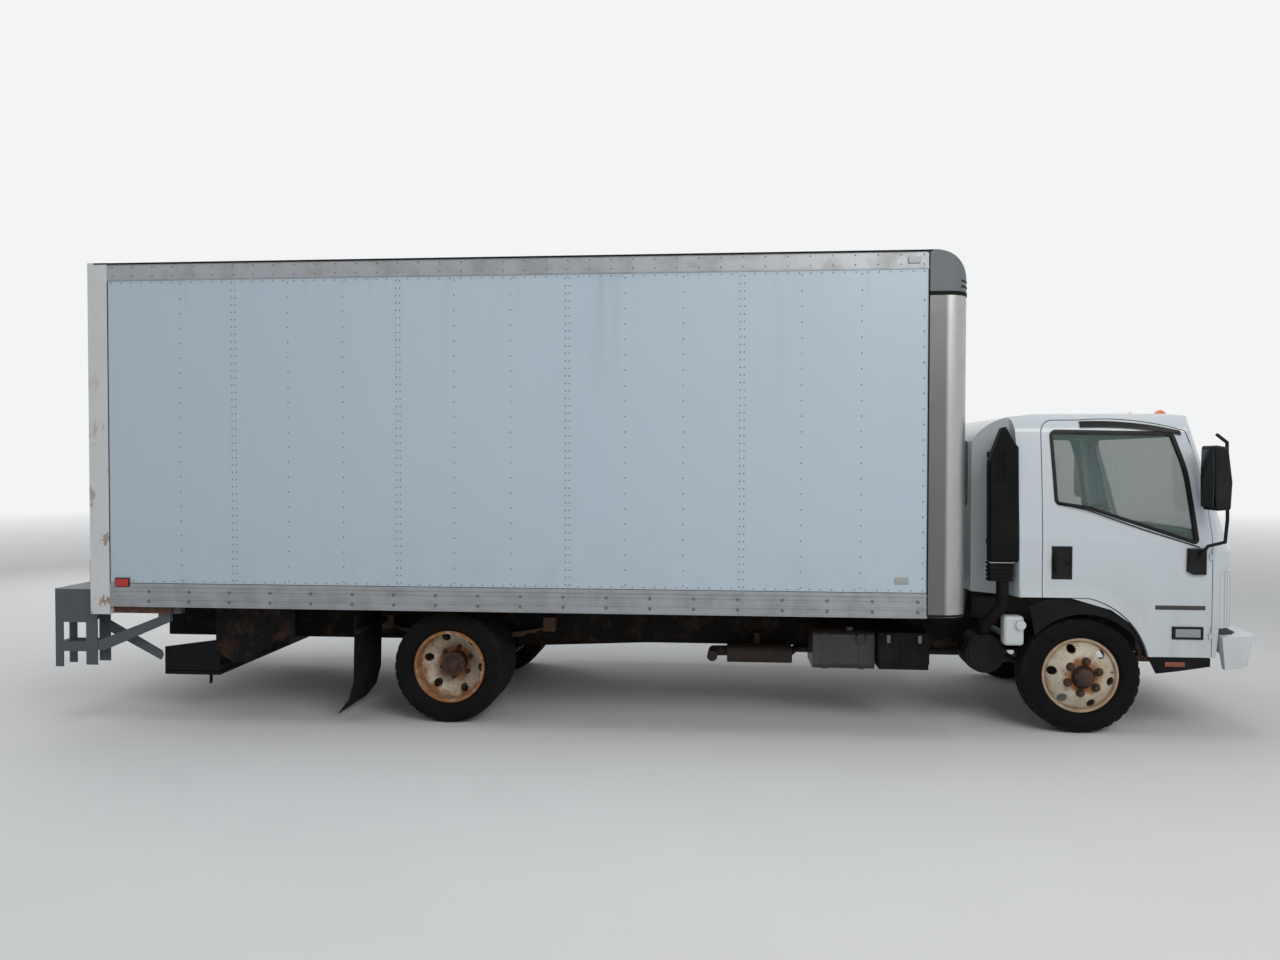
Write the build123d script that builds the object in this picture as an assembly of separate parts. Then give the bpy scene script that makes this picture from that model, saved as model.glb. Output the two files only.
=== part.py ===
from build123d import *
import math
import os

os.makedirs("parts", exist_ok=True)

# Box truck with a tilting cab, a van body and a tuck-under tail lift.
# Working axes while drawing: X forward from the front axle, Y left, Z up from the ground.
# Every piece is moved along X on export, so the origin ends under the middle of the vehicle.

# Overall sizes
WHEELBASE = 4470.0
BODY_LENGTH = 6242.0
BODY_HEIGHT = 2488.0
BODY_WIDTH = 2438.0
BODY_FRONT_X = -843.0
REAR_STEP_REACH = 325.0
BUMPER_REACH = 1200.0

# Tyres and wheels
TYRE_R = 405.0
TYRE_WIDTH = 225.0
RIM_R = 247.5
RIM_WIDTH = 152.0
FRONT_WHEEL_Y = 832.0
DUAL_INNER_Y = 692.0
DUAL_OUTER_Y = 958.0
STUD_PCD = 222.25
STUD_COUNT = 6
STUD_R = 9.0
HAND_HOLE_PCD = 400.0
HAND_HOLE_R = 31.0
NUT_R = 19.0

# Steering and axles
KINGPIN_Y = 740.0
KINGPIN_R = 18.0
PIN_CLEARANCE = 0.05
STEER_ARM = 165.0
AXLE_TUBE_R = 68.0

# Ladder frame
RAIL_OUTER_Y = 425.0
RAIL_FLANGE = 70.0
RAIL_HEIGHT = 216.0
RAIL_GAUGE = 7.0
RAIL_FRONT_X = 1040.0

# Van body
BODY_WALL = 42.0
BODY_ROOF = 40.0
FLOOR_THICK = 35.0
SILL_WIDTH = 60.0
BOTTOM_RAIL_H = 170.0
TOP_RAIL_H = 130.0
REAR_POST = 147.0
FRONT_WRAP = 275.0
CORNER_R = 150.0
NOSE_R = 240.0

# Cab
CAB_HALF = 1000.0
CAB_WALL = 45.0
CAB_BACK_X = -700.0
CAB_FRONT_X = 1090.0
CAB_HEIGHT = 1302.0
DOOR_GAP = 6.0
GLASS_INSET = 18.0
GLASS_THICK = 5.0
TILT_X = 1085.0
TILT_PIN_R = 20.0

# Tail lift
LIFT_TUBE_SET = 1025.0
LIFT_PIN_R = 20.0
LIFT_ARM_Y = 520.0

# Fits
SEAT = 0.3
RUN = 6.0

# Heights that follow the wheels
AXLE_Z = TYRE_R
RAIL_TOP_Z = AXLE_Z + 301
TILT_Z = AXLE_Z + 275
BODY_BOTTOM_Z = AXLE_Z + TYRE_R + 27
CAB_STEP_Z = AXLE_Z + 155
CAB_NOSE_Z = AXLE_Z + 333
CAB_TOE_Z = AXLE_Z + 355
CAB_FLOOR_Z = AXLE_Z + TYRE_R + 150
CAB_WAIST_Z = CAB_FLOOR_Z + 330
CAB_BELT_Z = CAB_FLOOR_Z + 390
CAB_ROOF_Z = CAB_FLOOR_Z + CAB_HEIGHT

BODY_REAR_X = BODY_FRONT_X - BODY_LENGTH
BODY_TOP_Z = BODY_BOTTOM_Z + BODY_HEIGHT
BODY_HALF = BODY_WIDTH / 2
REAR_X = BODY_REAR_X - REAR_STEP_REACH
FRONT_X = BUMPER_REACH
SHIFT = -(REAR_X + FRONT_X) / 2
REAR_AXLE_X = -WHEELBASE
RAIL_INNER_Y = RAIL_OUTER_Y - RAIL_FLANGE
RAIL_MID_Y = RAIL_OUTER_Y - RAIL_FLANGE / 2
RAIL_BOTTOM_Z = RAIL_TOP_Z - RAIL_HEIGHT


def block(x0, x1, y0, y1, z0, z1):
    """Rectangular solid between the given limits."""
    middle = Pos((x0 + x1) / 2, (y0 + y1) / 2, (z0 + z1) / 2)
    return middle * Box(abs(x1 - x0), abs(y1 - y0), abs(z1 - z0))


def rod_x(x0, x1, y, z, r):
    """Round bar along X."""
    return Pos((x0 + x1) / 2, y, z) * Rot(0, 90, 0) * Cylinder(r, abs(x1 - x0))


def rod_y(x, y0, y1, z, r):
    """Round bar along Y."""
    return Pos(x, (y0 + y1) / 2, z) * Rot(90, 0, 0) * Cylinder(r, abs(y1 - y0))


def rod_z(x, y, z0, z1, r):
    """Round bar along Z."""
    return Pos(x, y, (z0 + z1) / 2) * Cylinder(r, abs(z1 - z0))


def side_plate(points, y0, y1):
    """Outline in X and Z, given thickness along Y."""
    corners = [Vector(x, y0, z) for x, z in points]
    face = Face(Wire.make_polygon(corners, close=True))
    return extrude(face, amount=y1 - y0, dir=(0, 1, 0))


def cross_section(points, x0, x1):
    """Outline in Y and Z, given length along X."""
    corners = [Vector(x0, y, z) for y, z in points]
    face = Face(Wire.make_polygon(corners, close=True))
    return extrude(face, amount=x1 - x0, dir=(1, 0, 0))


def plan_plate(points, z0, z1):
    """Outline in X and Y, given height along Z."""
    corners = [Vector(x, y, z0) for x, y in points]
    face = Face(Wire.make_polygon(corners, close=True))
    return extrude(face, amount=z1 - z0, dir=(0, 0, 1))


def turned(points, x, y, z, flip=1):
    """Outline of distance along the axle and radius, turned about an axis along Y."""
    corners = [Vector(r, 0, flip * w) for w, r in points]
    face = Face(Wire.make_polygon(corners, close=True))
    spun = revolve(face, axis=Axis.Z)
    return Pos(x, y, z) * Rot(90, 0, 0) * spun


def pipe(points, r):
    """Round pipe through the given points, with a ball at each bend."""
    pieces = None
    for start, end in zip(points, points[1:]):
        run = Vector(*end) - Vector(*start)
        middle = (Vector(*start) + Vector(*end)) / 2
        plane = Plane(origin=middle, z_dir=run)
        piece = plane * Cylinder(r, run.length)
        pieces = piece if pieces is None else pieces + piece
    for point in points[1:-1]:
        pieces = pieces + Pos(*point) * Sphere(r)
    return pieces


def fuse(shapes):
    """One shape from a list that touch each other."""
    result = shapes[0]
    for shape in shapes[1:]:
        result = result + shape
    return result


def group(shapes):
    """Separate solids kept side by side in one file."""
    solids = []
    for shape in shapes:
        solids.extend(shape.solids())
    return Compound(children=solids)


def both(shape):
    """The shape and its mirror image across the centre line."""
    return group([shape, mirror(shape, about=Plane.XZ)])


def other_side(shape):
    """The mirror image across the centre line."""
    return mirror(shape, about=Plane.XZ)


def save(name, shape):
    """Move to the shared origin and write the file."""
    solids = [Pos(SHIFT, 0, 0) * solid for solid in shape.solids()]
    export_step(Compound(children=solids), "parts/" + name + ".step")


# Ladder frame: two channels with a perforated web, and their cross pieces
rail_rear_x = BODY_REAR_X + 120
channel = [
    (-RAIL_OUTER_Y, RAIL_BOTTOM_Z),
    (-RAIL_INNER_Y, RAIL_BOTTOM_Z),
    (-RAIL_INNER_Y, RAIL_BOTTOM_Z + RAIL_GAUGE),
    (-RAIL_OUTER_Y + RAIL_GAUGE, RAIL_BOTTOM_Z + RAIL_GAUGE),
    (-RAIL_OUTER_Y + RAIL_GAUGE, RAIL_TOP_Z - RAIL_GAUGE),
    (-RAIL_INNER_Y, RAIL_TOP_Z - RAIL_GAUGE),
    (-RAIL_INNER_Y, RAIL_TOP_Z),
    (-RAIL_OUTER_Y, RAIL_TOP_Z),
]
rail = cross_section(channel, rail_rear_x, RAIL_FRONT_X)
WEB_HOLE_R = 7.0
WEB_HOLE_PITCH_X = 200.0
WEB_HOLE_PITCH_Z = 84.0
web_hole_centre_x = -2950.0
web_hole_z = (RAIL_BOTTOM_Z + RAIL_TOP_Z) / 2
for dx in (-WEB_HOLE_PITCH_X / 2, WEB_HOLE_PITCH_X / 2):
    for dz in (-WEB_HOLE_PITCH_Z / 2, WEB_HOLE_PITCH_Z / 2):
        rail = rail - rod_y(
            web_hole_centre_x + dx, -RAIL_OUTER_Y - 5, -RAIL_OUTER_Y + RAIL_GAUGE + 5,
            web_hole_z + dz, WEB_HOLE_R)
save("frame_rails", both(rail))

cross_inner = RAIL_OUTER_Y - RAIL_GAUGE - SEAT
crossmember_depth = 60
cross_x = [
    rail_rear_x + 60,
    REAR_AXLE_X - 950,
    REAR_AXLE_X + 950,
    (REAR_AXLE_X + 950 - 1400) / 2,
    -1400,
    RAIL_FRONT_X - 330,
]
cross_pieces = []
for x in cross_x:
    web = block(x - crossmember_depth / 2, x + crossmember_depth / 2, -cross_inner, cross_inner,
                RAIL_TOP_Z - 0.45 * RAIL_HEIGHT, RAIL_TOP_Z - RAIL_GAUGE - SEAT)
    hollow = block(x - crossmember_depth / 2 + 6, x + crossmember_depth / 2 + 5,
                   -cross_inner - 5, cross_inner + 5,
                   RAIL_TOP_Z - 0.45 * RAIL_HEIGHT + 6, RAIL_TOP_Z - RAIL_GAUGE - 6)
    cross_pieces.append(web - hollow)
tilt_tube = rod_y(TILT_X - 95, -cross_inner, cross_inner, RAIL_TOP_Z - 42, 32)
cross_pieces.append(tilt_tube)

# Front axle: a dropped beam with an eye at each end for its kingpin
SPRING_WIDTH = 70.0
beam_top_z = AXLE_Z - 45
beam_depth = 75
beam_profile = [
    (-KINGPIN_Y + 60, AXLE_Z + 30),
    (-KINGPIN_Y + 60, AXLE_Z - 40),
    (-RAIL_OUTER_Y - 20, beam_top_z - beam_depth),
    (RAIL_OUTER_Y + 20, beam_top_z - beam_depth),
    (KINGPIN_Y - 60, AXLE_Z - 40),
    (KINGPIN_Y - 60, AXLE_Z + 30),
    (RAIL_OUTER_Y + 40, beam_top_z),
    (-RAIL_OUTER_Y - 40, beam_top_z),
]
beam = cross_section(beam_profile, -35, 35)
EYE_R = 42.0
eye_low = AXLE_Z - 45
eye_high = AXLE_Z + 45
for side in (-1, 1):
    eye = rod_z(0, side * KINGPIN_Y, eye_low, eye_high, EYE_R)
    neck = block(-35, 35, side * (KINGPIN_Y - 65), side * KINGPIN_Y, AXLE_Z - 35, AXLE_Z + 30)
    beam = beam + eye + neck
for side in (-1, 1):
    beam = beam - rod_z(0, side * KINGPIN_Y, eye_low - 5, eye_high + 5, KINGPIN_R + PIN_CLEARANCE)
save("front_axle", beam)

# Steering knuckles: fork, kingpin, spindle and a straight steering arm
FORK_R = 40.0
fork_thick = 30
SPINDLE_R = 38.0
DISC_OFFSET = (DUAL_OUTER_Y - DUAL_INNER_Y) / 2
DISC_THICK = 10.0
spindle_end_y = FRONT_WHEEL_Y + 100
DRUM_R = 165.0
arm_z = eye_low - 3 - fork_thick
TIE_PIN_R = 9.0
tie_y = KINGPIN_Y


def knuckle(side):
    """Knuckle for one side, drawn about the kingpin."""
    ky = side * KINGPIN_Y
    out = side * (KINGPIN_Y + FORK_R + 8)
    low = rod_z(0, ky, eye_low - 3 - fork_thick, eye_low - 3, FORK_R)
    high = rod_z(0, ky, eye_high + 3, eye_high + 3 + fork_thick, FORK_R)
    low = low + block(-30, 30, ky, out, eye_low - 3 - fork_thick, eye_low - 3)
    high = high + block(-30, 30, ky, out, eye_high + 3, eye_high + 3 + fork_thick)
    back = block(-40, 40, out, out + side * 14, eye_low - 3 - fork_thick, eye_high + 3 + fork_thick)
    pin = rod_z(0, ky, eye_low - 3 - fork_thick, eye_high + 3 + fork_thick, KINGPIN_R)
    spindle = rod_y(0, out, side * spindle_end_y, AXLE_Z, SPINDLE_R)
    shield = rod_y(0, out + side * 4, out + side * 10, AXLE_Z, DRUM_R - 5)
    arm = block(-STEER_ARM, 0, side * tie_y - 16, side * tie_y + 16, arm_z, arm_z + 24)
    tip = rod_z(-STEER_ARM, side * tie_y, arm_z, arm_z + 24, 20)
    ball = rod_z(-STEER_ARM, side * tie_y, arm_z - 40, arm_z, TIE_PIN_R)
    return fuse([low, high, back, pin, spindle, shield, arm, tip, ball])


save("knuckle_right", knuckle(-1))
save("knuckle_left", knuckle(1))

# Track rod: an eye at each steering arm and a bar between them
tie_low = arm_z - 34
tie_high = arm_z - 6
tie_bar_z = (tie_low + tie_high) / 2
tie_rod = rod_y(-STEER_ARM, -tie_y + 15, tie_y - 15, tie_bar_z, 13)
for side in (-1, 1):
    tie_rod = tie_rod + rod_z(-STEER_ARM, side * tie_y, tie_low, tie_high, 22)
for side in (-1, 1):
    tie_rod = tie_rod - rod_z(-STEER_ARM, side * tie_y, tie_low - 5, tie_high + 5,
                              TIE_PIN_R + PIN_CLEARANCE)
save("tie_rod", tie_rod)

# Rear axle: tube, round middle housing and hub ends
axle_end_y = DUAL_INNER_Y - TYRE_WIDTH / 2 + 20
rear_axle = rod_y(REAR_AXLE_X, -axle_end_y, axle_end_y, AXLE_Z, AXLE_TUBE_R)
rear_axle = rear_axle + Pos(REAR_AXLE_X, 0, AXLE_Z) * Rot(0, 90, 0) * Cylinder(175, 230)
rear_axle = rear_axle + rod_x(REAR_AXLE_X + 100, REAR_AXLE_X + 300, 0, AXLE_Z, 75)
STUB_R = 42.0
stub_end_y = DUAL_OUTER_Y - 60
for side in (-1, 1):
    rear_axle = rear_axle + rod_y(REAR_AXLE_X, side * axle_end_y, side * stub_end_y, AXLE_Z, STUB_R)
save("rear_axle", rear_axle)

# Tyre and rim sections: distance along the axle from the wheel's middle, then radius
tyre_half = TYRE_WIDTH / 2
rim_half = RIM_WIDTH / 2
BEAD_GAP = SEAT
tyre_section = [
    (-rim_half + 2, RIM_R + BEAD_GAP),
    (-rim_half + 2, RIM_R + 14),
    (-tyre_half + 8, RIM_R + 35),
    (-tyre_half, TYRE_R - 85),
    (-tyre_half + 6, TYRE_R - 32),
    (-tyre_half + 16, TYRE_R - 10),
    (-tyre_half + 30, TYRE_R - 2),
    (-tyre_half + 60, TYRE_R),
    (tyre_half - 60, TYRE_R),
    (tyre_half - 30, TYRE_R - 2),
    (tyre_half - 16, TYRE_R - 10),
    (tyre_half - 6, TYRE_R - 32),
    (tyre_half, TYRE_R - 85),
    (tyre_half - 8, RIM_R + 35),
    (rim_half - 2, RIM_R + 14),
    (rim_half - 2, RIM_R + BEAD_GAP),
]
RIM_GAUGE = 7.0
CENTRE_BORE_R = 82.0
disc_in = DISC_OFFSET - DISC_THICK
disc_foot = rim_half - 26
rim_section = [
    (-rim_half - 6, RIM_R + 13),
    (-rim_half + 1, RIM_R + 13),
    (-rim_half + 1, RIM_R),
    (rim_half - 1, RIM_R),
    (rim_half - 1, RIM_R + 13),
    (rim_half + 6, RIM_R + 13),
    (rim_half + 6, RIM_R - RIM_GAUGE + 4),
    (rim_half - 14, RIM_R - RIM_GAUGE - 2),
    (disc_foot + 30, RIM_R - 22),
    (DISC_OFFSET - 8, STUD_PCD / 2 + 44),
    (DISC_OFFSET, STUD_PCD / 2 + 26),
    (DISC_OFFSET, CENTRE_BORE_R),
    (disc_in, CENTRE_BORE_R),
    (disc_in, STUD_PCD / 2 + 24),
    (disc_in - 8, STUD_PCD / 2 + 36),
    (disc_foot + 14, RIM_R - 28),
    (disc_foot - 4, RIM_R - RIM_GAUGE),
    (-rim_half - 6, RIM_R - RIM_GAUGE),
]


def stud_angles():
    """Stud positions round the hub."""
    return [math.radians(20 + 360 / STUD_COUNT * k) for k in range(STUD_COUNT)]


def rim(wheel_y, flip):
    """Disc wheel with stud holes and hand holes; flip 1 puts the disc towards -Y."""
    shape = turned(rim_section, 0, wheel_y, AXLE_Z, flip)
    low = wheel_y - DISC_OFFSET - 20
    high = wheel_y + DISC_OFFSET + 20
    for a in stud_angles():
        x = STUD_PCD / 2 * math.cos(a)
        z = AXLE_Z + STUD_PCD / 2 * math.sin(a)
        shape = shape - rod_y(x, low, high, z, STUD_R + 1)
        x = HAND_HOLE_PCD / 2 * math.cos(a + math.radians(30))
        z = AXLE_Z + HAND_HOLE_PCD / 2 * math.sin(a + math.radians(30))
        shape = shape - rod_y(x, low, high, z, HAND_HOLE_R)
    return shape


def studs(near, far, face, side):
    """Studs from inside the hub flange out past the disc, each with its nut."""
    pieces = None
    for a in stud_angles():
        x = STUD_PCD / 2 * math.cos(a)
        z = AXLE_Z + STUD_PCD / 2 * math.sin(a)
        stud = rod_y(x, side * near, side * far, z, STUD_R)
        nut = Pos(x, side * (face + SEAT), z) * Rot(-side * 90, 0, 0) * extrude(
            RegularPolygon(NUT_R, 6), amount=far - 4 - face - SEAT)
        stud = stud + nut
        pieces = stud if pieces is None else pieces + stud
    return pieces


front_disc_y = FRONT_WHEEL_Y + disc_in
front_face_y = FRONT_WHEEL_Y + DISC_OFFSET
BEARING_R = SPINDLE_R + 0.05
DRUM_REACH = 84.0


def front_hub(side):
    """Hub, flange, drum and cap for one front wheel."""
    drum_end_y = FRONT_WHEEL_Y + DRUM_REACH
    flange = rod_y(0, side * (drum_end_y - 16), side * (front_disc_y - SEAT), AXLE_Z, 132)
    barrel = rod_y(0, side * (FRONT_WHEEL_Y - 30), side * (front_face_y + 34), AXLE_Z, 66)
    drum = rod_y(0, side * (FRONT_WHEEL_Y - 30), side * drum_end_y, AXLE_Z, DRUM_R)
    inside = rod_y(0, side * (FRONT_WHEEL_Y - 35), side * (drum_end_y - 16), AXLE_Z, DRUM_R - 14)
    shape = (drum - inside) + flange + barrel
    shape = shape - rod_y(0, side * (FRONT_WHEEL_Y - 35), side * (spindle_end_y + 4), AXLE_Z,
                          BEARING_R)
    return shape + studs(front_disc_y - 20, front_face_y + 34, front_face_y, side)


for side, label in ((-1, "right"), (1, "left")):
    wheel_y = side * FRONT_WHEEL_Y
    save("tyre_front_" + label, turned(tyre_section, 0, wheel_y, AXLE_Z))
    save("rim_front_" + label, rim(wheel_y, -side))
    save("hub_front_" + label, front_hub(side))

dual_joint_y = (DUAL_INNER_Y + DUAL_OUTER_Y) / 2
rear_near_y = dual_joint_y - DISC_THICK
rear_far_y = dual_joint_y + DISC_THICK


def rear_hub(side):
    """Hub, flange, drum and half-shaft cap for one pair of twin wheels."""
    drum_end_y = DUAL_INNER_Y + DRUM_REACH
    flange = rod_y(0, side * (drum_end_y - 16), side * (rear_near_y - SEAT), AXLE_Z, 132)
    barrel = rod_y(0, side * (axle_end_y + 6), side * (rear_far_y + 95), AXLE_Z, 76)
    cap = rod_y(0, side * (rear_far_y + 95), side * (rear_far_y + 108), AXLE_Z, 88)
    drum = rod_y(0, side * (axle_end_y + 60), side * drum_end_y, AXLE_Z, DRUM_R + 8)
    inside = rod_y(0, side * (axle_end_y + 55), side * (drum_end_y - 16), AXLE_Z, DRUM_R - 8)
    shape = (drum - inside) + flange + barrel + cap
    shape = shape - rod_y(0, side * (axle_end_y - 5), side * (stub_end_y + 4), AXLE_Z, STUB_R + 0.05)
    return shape + studs(rear_near_y - 22, rear_far_y + 34, rear_far_y, side)


for side, label in ((-1, "right"), (1, "left")):
    to_axle = Pos(REAR_AXLE_X, 0, 0)
    outer_y = side * (DUAL_OUTER_Y + SEAT / 2)
    inner_y = side * (DUAL_INNER_Y - SEAT / 2)
    tyres = group([turned(tyre_section, 0, outer_y, AXLE_Z), turned(tyre_section, 0, inner_y, AXLE_Z)])
    rims = group([rim(outer_y, side), rim(inner_y, -side)])
    save("tyres_rear_" + label, to_axle * tyres)
    save("rims_rear_" + label, to_axle * rims)
    save("hub_rear_" + label, to_axle * rear_hub(side))


def leaf_pack(centre_x, seat_z, span, rise, y, width, leaves, gauge):
    """Stack of leaves: the longest on top, each bent up towards its ends."""
    shape = None
    for k in range(leaves):
        half = span * (1 - k / (leaves + 0.6))
        low = seat_z + (leaves - 1 - k) * gauge
        low_line = []
        for t in (-1, -0.66, -0.33, 0, 0.33, 0.66, 1):
            bend = rise * (half / span) ** 2 * t * t
            low_line.append((centre_x + half * t, low + bend))
        high_line = [(x, z + gauge + 0.5) for x, z in reversed(low_line)]
        leaf = side_plate(low_line + high_line, y - width / 2, y + width / 2)
        shape = leaf if shape is None else shape + leaf
    return shape


FRONT_SPRING_SPAN = 640.0
REAR_SPRING_SPAN = 640.0
front_spring_z = beam_top_z + SEAT
hang_gap = RAIL_BOTTOM_Z - SEAT
front_rise = hang_gap - 30 - (front_spring_z + 4 * 11)
front_spring = leaf_pack(0, front_spring_z, FRONT_SPRING_SPAN, front_rise, -RAIL_MID_Y,
                         SPRING_WIDTH, 4, 11)
for x in (-FRONT_SPRING_SPAN, FRONT_SPRING_SPAN):
    hanger = block(x - 45, x + 45, -RAIL_MID_Y - 25, -RAIL_MID_Y + 25, hang_gap - 80, hang_gap)
    front_spring = front_spring + hanger
save("front_springs", both(front_spring))

REAR_SPRING_Y = RAIL_OUTER_Y + 66
rear_spring_z = AXLE_Z + AXLE_TUBE_R + SEAT
rear_rise = 70
rear_spring = leaf_pack(REAR_AXLE_X, rear_spring_z, REAR_SPRING_SPAN, rear_rise, -REAR_SPRING_Y,
                        SPRING_WIDTH, 6, 12)
rear_eye_z = rear_spring_z + 6 * 12 + rear_rise
for x in (REAR_AXLE_X - REAR_SPRING_SPAN, REAR_AXLE_X + REAR_SPRING_SPAN):
    hanger = block(x - 45, x + 45, -REAR_SPRING_Y - 30, -RAIL_OUTER_Y - SEAT,
                   rear_eye_z - 35, RAIL_TOP_Z - 20)
    rear_spring = rear_spring + hanger
save("rear_springs", both(rear_spring))

# Engine, gearbox and drive shaft
ENGINE_REAR_X = -600.0
engine = block(ENGINE_REAR_X, 120, -270, 270, RAIL_BOTTOM_Z - 40, CAB_FLOOR_Z - 100)
gear_z = RAIL_BOTTOM_Z + 20
gearbox = cross_section([(-150, gear_z - 110), (150, gear_z - 110), (190, gear_z + 90),
                         (120, gear_z + 190), (-120, gear_z + 190), (-190, gear_z + 90)],
                        ENGINE_REAR_X - 560, ENGINE_REAR_X)
shaft_start_x = ENGINE_REAR_X - 560
engine = engine + gearbox
for side in (-1, 1):
    engine = engine + block(-330, -250, side * 270, side * cross_inner,
                            RAIL_BOTTOM_Z + 60, RAIL_BOTTOM_Z + 150)
pinion_x = REAR_AXLE_X + 300
shaft_mid_x = (shaft_start_x + pinion_x) / 2
shaft = pipe([(shaft_start_x - 12, 0, gear_z - 20), (shaft_mid_x, 0, gear_z - 40),
              (pinion_x + 12, 0, AXLE_Z)], 42)
shaft = shaft + rod_x(shaft_start_x - 22, shaft_start_x - SEAT, 0, gear_z - 20, 58)
shaft = shaft + rod_x(pinion_x + SEAT, pinion_x + 22, 0, AXLE_Z, 58)
save("driveshaft", shaft)

radiator = block(245, 305, -300, 300, RAIL_BOTTOM_Z - 60, CAB_TOE_Z - 25)
for side in (-1, 1):
    radiator = radiator + block(255, 295, side * 300, side * cross_inner,
                                RAIL_BOTTOM_Z + 60, RAIL_BOTTOM_Z + 120)
save("engine", group([engine, radiator]))

# Van body: long sills and cross bearers, floor, walls, roof, rear frame
sill_top_z = BODY_BOTTOM_Z - 7
bearer_top_z = BODY_BOTTOM_Z + 63
floor_top_z = bearer_top_z + SEAT + FLOOR_THICK
wall_in_y = BODY_HALF - BODY_WALL
panel_rear_x = BODY_REAR_X + REAR_POST
panel_front_x = BODY_FRONT_X - FRONT_WRAP
bottom_rail_top_z = BODY_BOTTOM_Z + BOTTOM_RAIL_H
top_rail_low_z = BODY_TOP_Z - TOP_RAIL_H
BEARER_WIDTH = 55.0
bearer_count = 15
bearer_first_x = panel_rear_x + 60
bearer_last_x = BODY_FRONT_X - CORNER_R - 40

sill = block(panel_rear_x + SEAT, BODY_FRONT_X - 60, -RAIL_OUTER_Y, -RAIL_INNER_Y, RAIL_TOP_Z + SEAT, sill_top_z)
bearers = [sill, other_side(sill)]
for k in range(bearer_count):
    x = bearer_first_x + (bearer_last_x - bearer_first_x) * k / (bearer_count - 1)
    bearers.append(block(x - BEARER_WIDTH / 2, x + BEARER_WIDTH / 2, -wall_in_y + SEAT, wall_in_y - SEAT,
                         sill_top_z + SEAT, bearer_top_z))
save("floor_bearers", group(bearers))

floor = block(panel_rear_x + SEAT, BODY_FRONT_X - BODY_WALL - SEAT, -wall_in_y + SEAT,
              wall_in_y - SEAT, bearer_top_z + SEAT, floor_top_z)
corner_clear = CORNER_R - BODY_WALL
for side in (-1, 1):
    floor = floor - block(BODY_FRONT_X - BODY_WALL - corner_clear, BODY_FRONT_X,
                          side * (wall_in_y - corner_clear), side * BODY_HALF,
                          bearer_top_z - 5, floor_top_z + 5)
save("load_floor", floor)

# Side walls with their rails: the panel stands a little inside the rails
PANEL_INSET = 6.0
panel = block(panel_rear_x + SEAT, panel_front_x - SEAT, -BODY_HALF + PANEL_INSET, -wall_in_y,
              bottom_rail_top_z + SEAT, top_rail_low_z - SEAT)
save("side_walls", both(panel))

rail_groove_z = [BODY_BOTTOM_Z + 52, BODY_BOTTOM_Z + 112, BODY_BOTTOM_Z + 140]
bottom_rail = block(panel_rear_x + SEAT, panel_front_x - SEAT, -BODY_HALF, -wall_in_y,
                    BODY_BOTTOM_Z, bottom_rail_top_z)
for z in rail_groove_z:
    bottom_rail = bottom_rail - block(panel_rear_x - 5, panel_front_x + 5, -BODY_HALF - 5,
                                      -BODY_HALF + 4, z - 3, z + 3)

top_rail = block(panel_rear_x + SEAT, panel_front_x - SEAT, -BODY_HALF, -wall_in_y,
                 top_rail_low_z, BODY_TOP_Z)
top_rail = top_rail - block(panel_rear_x - 5, panel_front_x + 5, -BODY_HALF - 5, -BODY_HALF + 10,
                            BODY_TOP_Z - 25, BODY_TOP_Z + 5)
save("body_rails", group([bottom_rail, other_side(bottom_rail), top_rail, other_side(top_rail)]))

# Roof skin with its bows underneath
ROOF_SKIN = 12.0
roof = block(panel_rear_x + SEAT, panel_front_x - SEAT, -wall_in_y + SEAT, wall_in_y - SEAT,
             BODY_TOP_Z - ROOF_SKIN, BODY_TOP_Z)
for k in range(10):
    x = panel_rear_x + 250 + (panel_front_x - panel_rear_x - 500) * k / 9
    roof = roof + block(x - 20, x + 20, -wall_in_y + SEAT, wall_in_y - SEAT,
                        BODY_TOP_Z - BODY_ROOF, BODY_TOP_Z - ROOF_SKIN)
save("roof", roof)


def rounded_front(inset, low_z, high_z, back_x, nose):
    """Front end of the body: round upright corners, and a round nose where asked."""
    front = BODY_FRONT_X - inset
    half = BODY_HALF - inset
    radius = CORNER_R - inset
    top = high_z - (inset if nose else 0)
    shape = block(back_x, front, -half, half, low_z, top)
    shape = fillet(shape.edges().filter_by(Axis.Z).group_by(Axis.X)[-1], radius)
    if nose:
        prow = block(back_x - 300, front, -half - 50, half + 50, low_z - 400, top)
        edge = prow.edges().filter_by(Axis.Y).group_by(Axis.X)[-1].group_by(Axis.Z)[-1]
        prow = fillet(edge, NOSE_R - inset)
        shape = shape & prow
    return shape


CAP_LOW_Z = BODY_TOP_Z - 290
front_wall = rounded_front(0, BODY_BOTTOM_Z + 9, CAP_LOW_Z - SEAT, panel_front_x, False)
front_wall = front_wall - rounded_front(BODY_WALL, BODY_BOTTOM_Z - 5, CAP_LOW_Z + 5,
                                        panel_front_x - 5, False)
save("front_wall", front_wall)
cap = rounded_front(0, CAP_LOW_Z, BODY_TOP_Z, panel_front_x, True)
cap = cap - rounded_front(BODY_WALL, CAP_LOW_Z - 5, BODY_TOP_Z, panel_front_x - 5, True)
save("front_cap", cap)

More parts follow.
